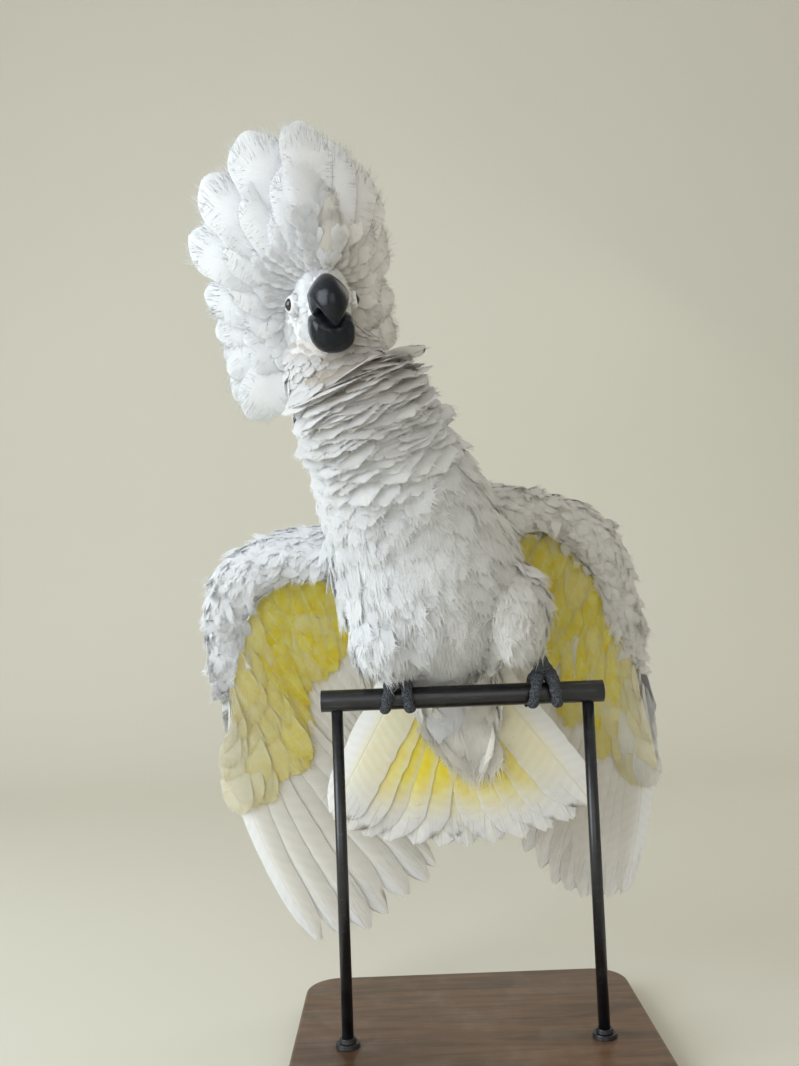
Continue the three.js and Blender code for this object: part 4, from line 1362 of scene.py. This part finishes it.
def lobe_paths(data, rows):
    """Paths of the broad feathers that stand out round the head."""
    angle = np.radians(data[:, 0])
    out = np.stack([np.sin(angle), np.cos(angle)], 1)
    reach, back, root_back, half = data[:, 1:5].T
    root = np.stack([out[:, 0] * 15, out[:, 1] * 17, root_back], 1)
    bow = np.stack([out[:, 0] * reach * 0.58, out[:, 1] * reach * 0.58, root_back + 7], 1)
    tip = np.stack([out[:, 0] * reach, out[:, 1] * reach, -back], 1)
    return bowed_paths(root, bow, tip, half, rows)


def bowed_paths(root, bow, tip, half, rows):
    """World paths, fronts, ways across and widths of broad rounded feathers, told in head millimetres."""
    u = np.linspace(0, 1, rows)[None, :, None]
    root, bow, tip = root[:, None], bow[:, None], tip[:, None]
    local = root * (1 - u) ** 2 + 2 * bow * u * (1 - u) + tip * u * u
    along = unit(np.gradient(local, axis=1))
    across = unit(np.cross(along, np.array([0.0, 0.0, 1.0])))
    face = unit(np.cross(across, along))
    path = head_at(local[..., 0], local[..., 1], local[..., 2])
    normal = head_dir(face[..., 0], face[..., 1], face[..., 2])
    inner = head_dir(across[..., 0], across[..., 1], across[..., 2])
    length = np.linalg.norm(tip - root, axis=-1)
    tip_start = 1 - 0.95 * half[:, None] / length
    y = u[..., 0]
    rise = 0.42 + 0.58 * np.sin(np.pi / 2 * np.clip(y / 0.60, 0, 1))
    fall = np.sqrt(np.clip(1 - (np.clip(y - tip_start, 0, 1) / (1.004 - tip_start)) ** 2, 0, 1))
    return path, normal, inner, 2 * half[:, None] * MM * rise * fall


def head_plumes(skin_map):
    """The raised crest and the broad ruff: rounded, cupped, soft-edged feathers in layers."""
    rng = np.random.default_rng(102)
    data = lobe_table()
    count, rows = len(data), 33
    path, normal, inner, width = lobe_paths(data, rows)
    # painted shade: warmer on the bird's left, turned from the light, and cream and brown on the two small
    # feathers in the groove of the front crest
    warm = smoothstep(-5, 35, data[:, 0]) * 0.85 * np.where(np.abs(data[:, 0]) < 150, 1, 0.5)
    groove_shade = (data[:, 4] < 10) * 0.45
    marks = {"tone": rng.normal(size=count) * 0.5, "warm": np.maximum(warm, 1.6 * groove_shade), "under": groove_shade,
             "yellow": 0.0, "quill": 0.0, "fray": 0.03}
    tilt = 0.06 * rng.normal(size=count) - 0.22 * (np.abs(data[:, 0] - 1) < 3)
    p = {"inner": 0.5, "thick": 0.55 * MM, "cup": 0.20, "tilt": tilt, "sweep": 0.16, "ridge": 0.0}
    place = pathed(path, normal, inner, width, p)
    barbs = 260
    plumes = join_leaves("crest_feathers", place, count, (10, 13, 1.6), marks, atlas(count),
                         (barbs, 0.3, 0.07, 0.04, 0.20, 0.0), 103, CREST_PLUMES)
    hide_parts("crest")
    face_cover(skin_map, plumes)
    nape_cover(skin_map)


def face_cover(skin_map, plumes):
    """Small soft feathers lying on the broad ones, which smooth the face out to crest and ruff."""
    rng = np.random.default_rng(105)
    total = 12000
    front = front_rows()
    angle = rng.uniform(-150, 150, total)
    reach = np.interp(angle, front[:, 0], front[:, 1])
    ragged = np.array([noise.noise(Vector((a / 9, 3.7, 0.0))) for a in angle])
    share = rng.uniform(0.16, 0.40 + 0.12 * ragged)
    far = reach * share
    side, up = far * np.sin(np.radians(angle)), far * np.cos(np.radians(angle))
    free = (np.abs(angle - 7) > 8) | (share < 0.2)
    side, up, angle, share = (k[free] for k in (side, up, angle, share))
    depsgraph = bpy.context.evaluated_depsgraph_get()
    broad = BVHTree.FromObject(plumes, depsgraph)
    flesh = BVHTree.FromObject(skin_map.skin, depsgraph)
    ray = Vector(head_dir(0, 0, -1))
    hits = []
    for number, (x, y) in enumerate(zip(side, up)):
        start = Vector(head_at(x, y, 70))
        spot, normal, face, run = broad.ray_cast(start, ray)
        inner = flesh.ray_cast(start, ray)
        if spot is not None and (inner[0] is None or inner[3] > run - 0.001):
            hits.append((number, *spot, *normal))
    hits = np.array(hits)
    number, root, met = hits[:, 0].astype(int), hits[:, 1:4], hits[:, 4:7]
    size = smoothstep(0.15, 0.50, share[number])
    order = spread_out(root, (2.6 + 2.0 * size) * MM * (1.0))
    number, root, met, size = (k[order] for k in (number, root, met, size))
    count = len(root)
    out = np.radians(angle[number])
    radial = head_dir(np.sin(out), np.cos(out), 0 * out)
    met = met * np.sign(dot(met, head_dir(0, 0, 1)[None]))
    face = unit(met + 0.8 * head_dir(0, 0, 1)[None])
    lie = flat_to(radial + 0.12 * rng.normal(size=(count, 3)), face)
    root = root + 0.5 * MM * face
    jitter = 1 + 0.15 * rng.normal(size=count)
    p = {"length": (8 + 8 * size) * MM * jitter, "width": (6 + 5 * size) * MM, "lift": 0.03, "curl": 0.03,
         "cup": 0.05, "point": 0.0, "thick": 0.08 * MM, "sway": 0.0, "spin": 0.0}
    # painted shade: warmer on the bird's left, turned from the light
    marks = leaf_marks(count, rng, smoothstep(-5, 40, angle[number]) * 0.85, 0.0, 0.06, 0.0)
    join_leaves("crest_down", planted(root, lie, face, p), count, (4, 3, 1.7), marks,
                skin_map.nearest_uv(root), (16, 0.3, 0.25, 0.24, 0.22, 0.3), 104, CREST_PLUMES,
                body=face)


def nape_cover(skin_map):
    """Broad feathers down the back of the skull, closing the hollow inside the raised crest."""
    rng = np.random.default_rng(107)
    table = []
    for number, (top, long, deep) in enumerate(((14, 66, 72), (28, 54, 79), (42, 46, 84), (52, 38, 86))):
        places = np.arange(-2.5, 3) if number % 2 else np.arange(-3, 4)
        for place in places[np.abs(places) < 2.9 - 0.3 * number]:
            table.append([14.5 * place, top - 1.8 * place ** 2, long, deep - 1.2 * place ** 2])
    data = np.array(table)
    data = data + np.array([1.5, 2.0, 3.0, 0.8]) * rng.normal(size=data.shape)
    side, top, long, deep = data.T
    count = len(data)
    root = np.stack([side, top, 6 - deep], 1)
    bow = np.stack([side * 1.1, top - 0.5 * long, -5 - deep], 1)
    tip = np.stack([side * 1.15, top - long, -3 - deep], 1)
    path, normal, inner, width = bowed_paths(root, bow, tip, np.full(count, 17.0), 25)
    marks = {"tone": rng.normal(size=count) * 0.5, "warm": 0.35, "under": 0.0, "yellow": 0.0, "quill": 0.0,
             "fray": 0.03}
    p = {"inner": 0.5, "thick": 0.55 * MM, "cup": 0.16, "tilt": 0.05 * rng.normal(size=count), "sweep": 0.16,
         "ridge": 0.0}
    barbs = 160
    join_leaves("nape_feathers", pathed(path, normal, inner, width, p), count, (10, 11, 1.6), marks,
                skin_map.nearest_uv(path[:, 0]), (barbs, 0.3, 0.07, 0.04, 0.20, 0.0), 106,
                CREST_PLUMES)


# ------------------------------------------------------------------ eyes, lids and bill
def make_eyes(skin_map):
    for side, sign in (("right", -1), ("left", 1)):
        out = Vector(head_dir(sign, 0.05, 0.30)).normalized()
        turn = Vector((0, 0, 1)).rotation_difference(out).to_matrix().to_4x4()
        place = Matrix.Translation(Vector(head_at(sign * EYE_SIDE, 0, 1))) @ turn
        bm = bmesh.new()
        bmesh.ops.create_uvsphere(bm, u_segments=40, v_segments=28, radius=EYE_RADIUS * MM)
        for vert in bm.verts:
            height = vert.co.z / (EYE_RADIUS * MM)
            if height > 0.70:
                vert.co.z += 0.9 * MM * (height - 0.70) / 0.30
        bmesh.ops.transform(bm, matrix=place, verts=bm.verts)
        eye = new_object(f"eyeball_{side}", mesh_from(bm, f"eyeball_{side}"), EYE)
        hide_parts(f"eye_{side}")
        bm = bmesh.new()
        outer, inner = EYE_RADIUS + 0.75, EYE_RADIUS + 0.12
        profile = [(outer, a) for a in range(92, 46, -5)]
        profile += [(outer + 0.1, 43), (outer - 0.05, 40.5), (inner, 40.0)]
        profile += [(inner, a) for a in range(45, 95, 8)]
        ring = [bm.verts.new((r * MM * math.sin(math.radians(a)), 0, r * MM * math.cos(math.radians(a))))
                for r, a in profile]
        for number, vert in enumerate(ring):
            bm.edges.new((vert, ring[(number + 1) % len(ring)]))
        bmesh.ops.spin(bm, geom=bm.verts[:] + bm.edges[:], cent=(0, 0, 0), axis=(0, 0, 1), steps=56,
                       angle=2 * math.pi, use_merge=True, use_duplicate=False)
        for vert in bm.verts:
            around = math.atan2(vert.co.y, vert.co.x)
            vert.co.xy *= 1 + 0.012 * math.cos(around * 13)
        outward(bm)
        bmesh.ops.transform(bm, matrix=place, verts=bm.verts)
        new_object(f"eyelid_{side}", mesh_from(bm, f"eyelid_{side}"), LID)
        lid_down(side, place, skin_map)


def lid_down(side, place, skin_map):
    """Tiny feathers round the lid, pointing away from the eye."""
    rng = np.random.default_rng(110)
    count = 150
    polar = np.arccos(rng.uniform(math.cos(math.radians(92)), math.cos(math.radians(48)), count))
    around = rng.uniform(0, 2 * np.pi, count)
    normal = np.stack([np.sin(polar) * np.cos(around), np.sin(polar) * np.sin(around), np.cos(polar)], 1)
    lie = np.stack([np.cos(polar) * np.cos(around), np.cos(polar) * np.sin(around), -np.sin(polar)], 1)
    turn, centre = np.array(place.to_3x3()), np.array(place.translation)
    root = normal * (EYE_RADIUS + 0.7) * MM @ turn.T + centre
    normal, lie = normal @ turn.T, lie @ turn.T
    p = {"length": 3.6 * MM * (1 + 0.2 * rng.normal(size=count)), "width": 2.4 * MM, "lift": 0.10,
         "curl": 0.10, "cup": 0.05, "point": 0.1, "thick": 0.07 * MM, "sway": 0.0, "spin": 0.0}
    # painted shade: the down round the left eye, turned from the light, is warmer
    warm = 0.0 if side == "right" else 0.7
    join_leaves(f"lid_down_{side}", planted(root, lie, normal, p), count, (2, 3, 1.5),
                leaf_marks(count, rng, warm, 0.0, 0.05, 0.0), skin_map.nearest_uv(root),
                (8, 0.3, 0.35, 0.30, 0.10, 0.3), 111, CONTOUR)


def make_bill():
    limb = Limb(head_rows(UPPER_ROWS), HEAD_SIDE)

    def upper_shape(x, y, t):
        base = smoothstep(0.76, 0.36, t)
        ridge = 1 - 0.40 * max(0.0, y) * base - 0.15 * max(0.0, y) * (1 - base)
        square = 1 + base * (1 / (x ** 4 + y ** 4) ** 0.25 - 1 if y < 0 else 0.0)
        nick = 1 - 0.05 * math.exp(-((t - 0.55) / 0.05) ** 2) * max(0.0, -y)
        return x * ridge * square, y * nick * square * (1 + 0.28 * base * max(0.0, -y))

    bm = bmesh.new()
    limb_tube(bm, limb, 0.0, around=44, rows=48, shape=upper_shape)
    outward(bm)
    upper = new_object("bill_upper", mesh_from(bm, "bill_upper"), HORN)
    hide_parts("upper_bill")
    limb = Limb(head_rows(LOWER_ROWS), HEAD_SIDE)

    def lower_shape(x, y, t):
        scoop = 1 - 0.20 * max(0.0, y) ** 2 * (1 - abs(x)) * smoothstep(0.4, 0.9, t)
        square = 1 / (x ** 4 + y ** 4) ** 0.25 if y > 0 else 1 + 0.10 * (x * y) ** 2
        return x * square, y * scoop * square

    bm = bmesh.new()
    limb_tube(bm, limb, 0.2, around=44, rows=34, shape=lower_shape)
    outward(bm)
    lower = new_object("bill_lower", mesh_from(bm, "bill_lower"), HORN)
    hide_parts("lower_bill")


# ------------------------------------------------------------------ feet
def toe_rings(side, toe, a0, a1, r0, r1, rows, knuckles):
    x0, x1, face = toe
    t = np.linspace(0, 1, rows)
    angle = np.radians(a0 + (a1 - a0) * t)
    radius = r0 + (r1 - r0) * t
    share = np.minimum(1.2, (np.degrees(angle) - TOE_START) / (TOE_END - TOE_START))
    x = FOOT_X[side] + x0 + (x1 - x0) * share
    pad = 1 + knuckles * np.cos(angle * 9)
    reach = PERCH_RADIUS + TOE_GAP + radius
    centre = to_world(np.stack([x, -face * np.sin(angle) * reach, np.cos(angle) * reach], 1))
    out = np.stack([0 * t, -face * np.sin(angle), np.cos(angle)], 1)
    size = (radius * pad * MM)[:, None]
    return centre, np.array([1.0, 0, 0])[None] * size, out * size


def make_feet():
    for side in SIDES:
        x, top = FOOT_X[side], TARSUS_TOP[side]
        shank = [[*top, 5.4, 5.8], [(top[0] + x) / 2, -1.5, top[2] / 2 + 9, 5.0, 5.4],
                 [x, -0.5, 15, 7.0, 6.6], [x, 0, 11.5, 8.4, 7.0]]
        bm = bmesh.new()

        def scutes(px, py, t):
            swell = 1 + 0.05 * math.cos(t * 40) * smoothstep(0.0, 0.3, t)
            return px * swell, py * swell

        limb_tube(bm, Limb(shank), 0.0, around=28, rows=34, shape=scutes)
        for toe in TOES:
            centre, a, b = toe_rings(side, toe, TOE_START - 8, TOE_END + 1, TOE_RADIUS, TOE_TIP_RADIUS,
                                     46, 0.09)
            ripple = 1 + 0.035 * np.cos(np.linspace(0, 46 * 1.15, 46))[:, None]
            tube(bm, centre, a * ripple, b * ripple, 20)
        outward(bm)
        foot = new_object(f"scaled_foot_{side}", mesh_from(bm, f"scaled_foot_{side}"), SCALES)
        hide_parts(f"foot_{side}")
        for number, toe in enumerate(TOES):
            bm = bmesh.new()
            first = TOE_END - 2
            centre, a, b = toe_rings(side, toe, first, CLAW_END, CLAW_RADIUS, 0.35, 24, 0.0)
            tube(bm, centre, a * 0.85, b * 1.0, 16)
            outward(bm)
            name = f"claw_{side}_{number + 1}_horn"
            claw = new_object(name, mesh_from(bm, name), CLAW_HORN)
            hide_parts(f"claw_{side}_{number + 1}")


# ------------------------------------------------------------------ the stand
def make_stand():
    bm = bmesh.new()
    bmesh.ops.create_cone(bm, segments=64, radius1=PERCH_RADIUS * MM, radius2=PERCH_RADIUS * MM,
                          depth=2 * PERCH_HALF * MM, cap_ends=True)
    ends = [f for f in bm.faces if len(f.verts) > 4]
    bmesh.ops.inset_individual(bm, faces=ends, thickness=1.6 * MM)
    for face in ends:
        push = -face.normal * 1.2 * MM
        bmesh.ops.translate(bm, verts=face.verts, vec=push)
    sharp = [e for e in bm.edges if e.calc_face_angle(0) > 0.8]
    bmesh.ops.bevel(bm, geom=sharp, offset=0.5 * MM, segments=3, profile=0.5, affect="EDGES", material=-1)
    bmesh.ops.rotate(bm, verts=bm.verts, matrix=Matrix.Rotation(math.pi / 2, 3, "Y"))
    bmesh.ops.translate(bm, verts=bm.verts, vec=(0, 0, PERCH_HEIGHT))
    perch = new_object("stand_perch_tube", mesh_from(bm, "stand_perch_tube"), ENAMEL)
    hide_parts("stand_perch")
    for side, sign in (("right", -1), ("left", 1)):
        low, high = BASE_THICK * MM, PERCH_HEIGHT - (PERCH_RADIUS - 1.0) * MM
        bm = bmesh.new()
        bmesh.ops.create_cone(bm, segments=40, radius1=ROD_RADIUS * MM, radius2=ROD_RADIUS * MM,
                              depth=high - low, cap_ends=True)
        bmesh.ops.translate(bm, verts=bm.verts, vec=(sign * ROD_OFFSET * MM, 0, (high + low) / 2))
        rod = new_object(f"stand_rod_{side}_steel", mesh_from(bm, f"stand_rod_{side}_steel"), ENAMEL)
        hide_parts(f"stand_rod_{side}")
        bm = bmesh.new()
        for level, size, tall in ((low + 1.5 * MM, 8.5, 3.0), (low + 4.5 * MM, 6.0, 3.0)):
            ring = bmesh.ops.create_cone(bm, segments=40, radius1=size * MM, radius2=(size - 0.6) * MM,
                                         depth=tall * MM, cap_ends=True)["verts"]
            bmesh.ops.translate(bm, verts=ring, vec=(sign * ROD_OFFSET * MM, 0, level))
        sharp = [e for e in bm.edges if e.calc_face_angle(0) > 0.8]
        bmesh.ops.bevel(bm, geom=sharp, offset=0.4 * MM, segments=2, profile=0.5, affect="EDGES", material=-1)
        new_object(f"stand_collar_{side}", mesh_from(bm, f"stand_collar_{side}", smooth=False), ENAMEL)
    bm = bmesh.new()
    bmesh.ops.create_cube(bm, size=1.0)
    bmesh.ops.scale(bm, vec=(BASE_X * MM, BASE_Y * MM, BASE_THICK * MM), verts=bm.verts)
    corners = [e for e in bm.edges if abs((e.verts[0].co - e.verts[1].co).z) > 1e-4]
    bmesh.ops.bevel(bm, geom=corners, offset=BASE_CORNER * MM, segments=14, profile=0.5, affect="EDGES",
                    material=-1)
    rims = [e for e in bm.edges if e.calc_face_angle(0) > 0.8]
    bmesh.ops.bevel(bm, geom=rims, offset=2.5 * MM, segments=4, profile=0.5, affect="EDGES", material=-1)
    bmesh.ops.translate(bm, verts=bm.verts, vec=(0, BASE_SHIFT_Y * MM, BASE_THICK * MM / 2))
    base = new_object("stand_base_wood", mesh_from(bm, "stand_base_wood", smooth=False), WOOD)
    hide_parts("stand_base")


# ------------------------------------------------------------------ studio
def area_light(name, at, target, size, power, colour):
    data = bpy.data.lights.new(name, "AREA")
    data.shape = "RECTANGLE"
    data.size, data.size_y = size
    data.energy = power
    data.color = colour
    light = bpy.data.objects.new(name, data)
    light.location = at
    light.rotation_euler = (Vector(target) - Vector(at)).to_track_quat("-Z", "Y").to_euler()
    bpy.context.scene.collection.objects.link(light)


def studio():
    bm = bmesh.new()
    made = bmesh.ops.create_grid(bm, x_segments=2, y_segments=40, size=2.2)["verts"]
    bend, wall = 0.6, 1.7
    for vert in made:
        run = (vert.co.y + 2.2) * 1.25
        start = wall + 1.6 - bend
        turn = min(max((run - start) / bend, 0.0), math.pi / 2)
        rise = max(run - start - bend * math.pi / 2, 0.0)
        vert.co.y = min(run, start) - 1.6 + bend * math.sin(turn)
        vert.co.z = bend * (1 - math.cos(turn)) + rise
        vert.co.x *= 1.6
    outward(bm)
    sweep = bpy.data.objects.new("backdrop", mesh_from(bm, "backdrop"))
    sweep.data.materials.append(backdrop_material("pale_backdrop", (0.74, 0.72, 0.63, 1)))
    bpy.context.scene.collection.objects.link(sweep)
    world = bpy.data.worlds.new("soft_room")
    world.use_nodes = True
    glow = world.node_tree.nodes["Background"].inputs
    glow["Color"].default_value = (0.66, 0.64, 0.58, 1)
    glow["Strength"].default_value = 0.75
    bpy.context.scene.world = world
    bird = (-0.03, 0.0, 0.40)
    area_light("window_left", (-1.5, -0.7, 0.9), bird, (1.2, 1.4), 29, (0.84, 0.93, 1.0))
    area_light("soft_front", (-0.2, -1.9, 0.8), bird, (1.6, 1.2), 9, (0.95, 0.97, 1.0))
    area_light("rim_back", (0.9, 1.0, 1.5), bird, (1.0, 1.0), 2.5, (1.0, 0.95, 0.88))


SENSOR = 36.0
LENS = SENSOR * 1000 / 1066
CAMERA_AT = (-0.039, -0.700, PERCH_HEIGHT + 0.066)
CAMERA_PITCH, CAMERA_ROLL = 94, -2.2


def camera():
    data = bpy.data.cameras.new("camera")
    data.sensor_fit = "AUTO"
    data.sensor_width = SENSOR
    data.lens = LENS
    cam = bpy.data.objects.new("camera", data)
    pitch = Matrix.Rotation(math.radians(CAMERA_PITCH), 4, "X")
    roll = Matrix.Rotation(math.radians(CAMERA_ROLL), 4, "Z")
    cam.matrix_world = Matrix.Translation(CAMERA_AT) @ pitch @ roll
    bpy.context.scene.collection.objects.link(cam)
    bpy.context.scene.camera = cam


camera()
skin = make_skin()
skin_map = SkinMap(skin)
contour_feathers(skin_map)
head_plumes(skin_map)
for side in SIDES:
    flight_feathers(side)
    covert_rows(side, True)
    covert_rows(side, False)
tail_feathers()
make_eyes(skin_map)
make_bill()
make_feet()
make_stand()
studio()
bpy.context.scene.view_settings.view_transform = "Standard"
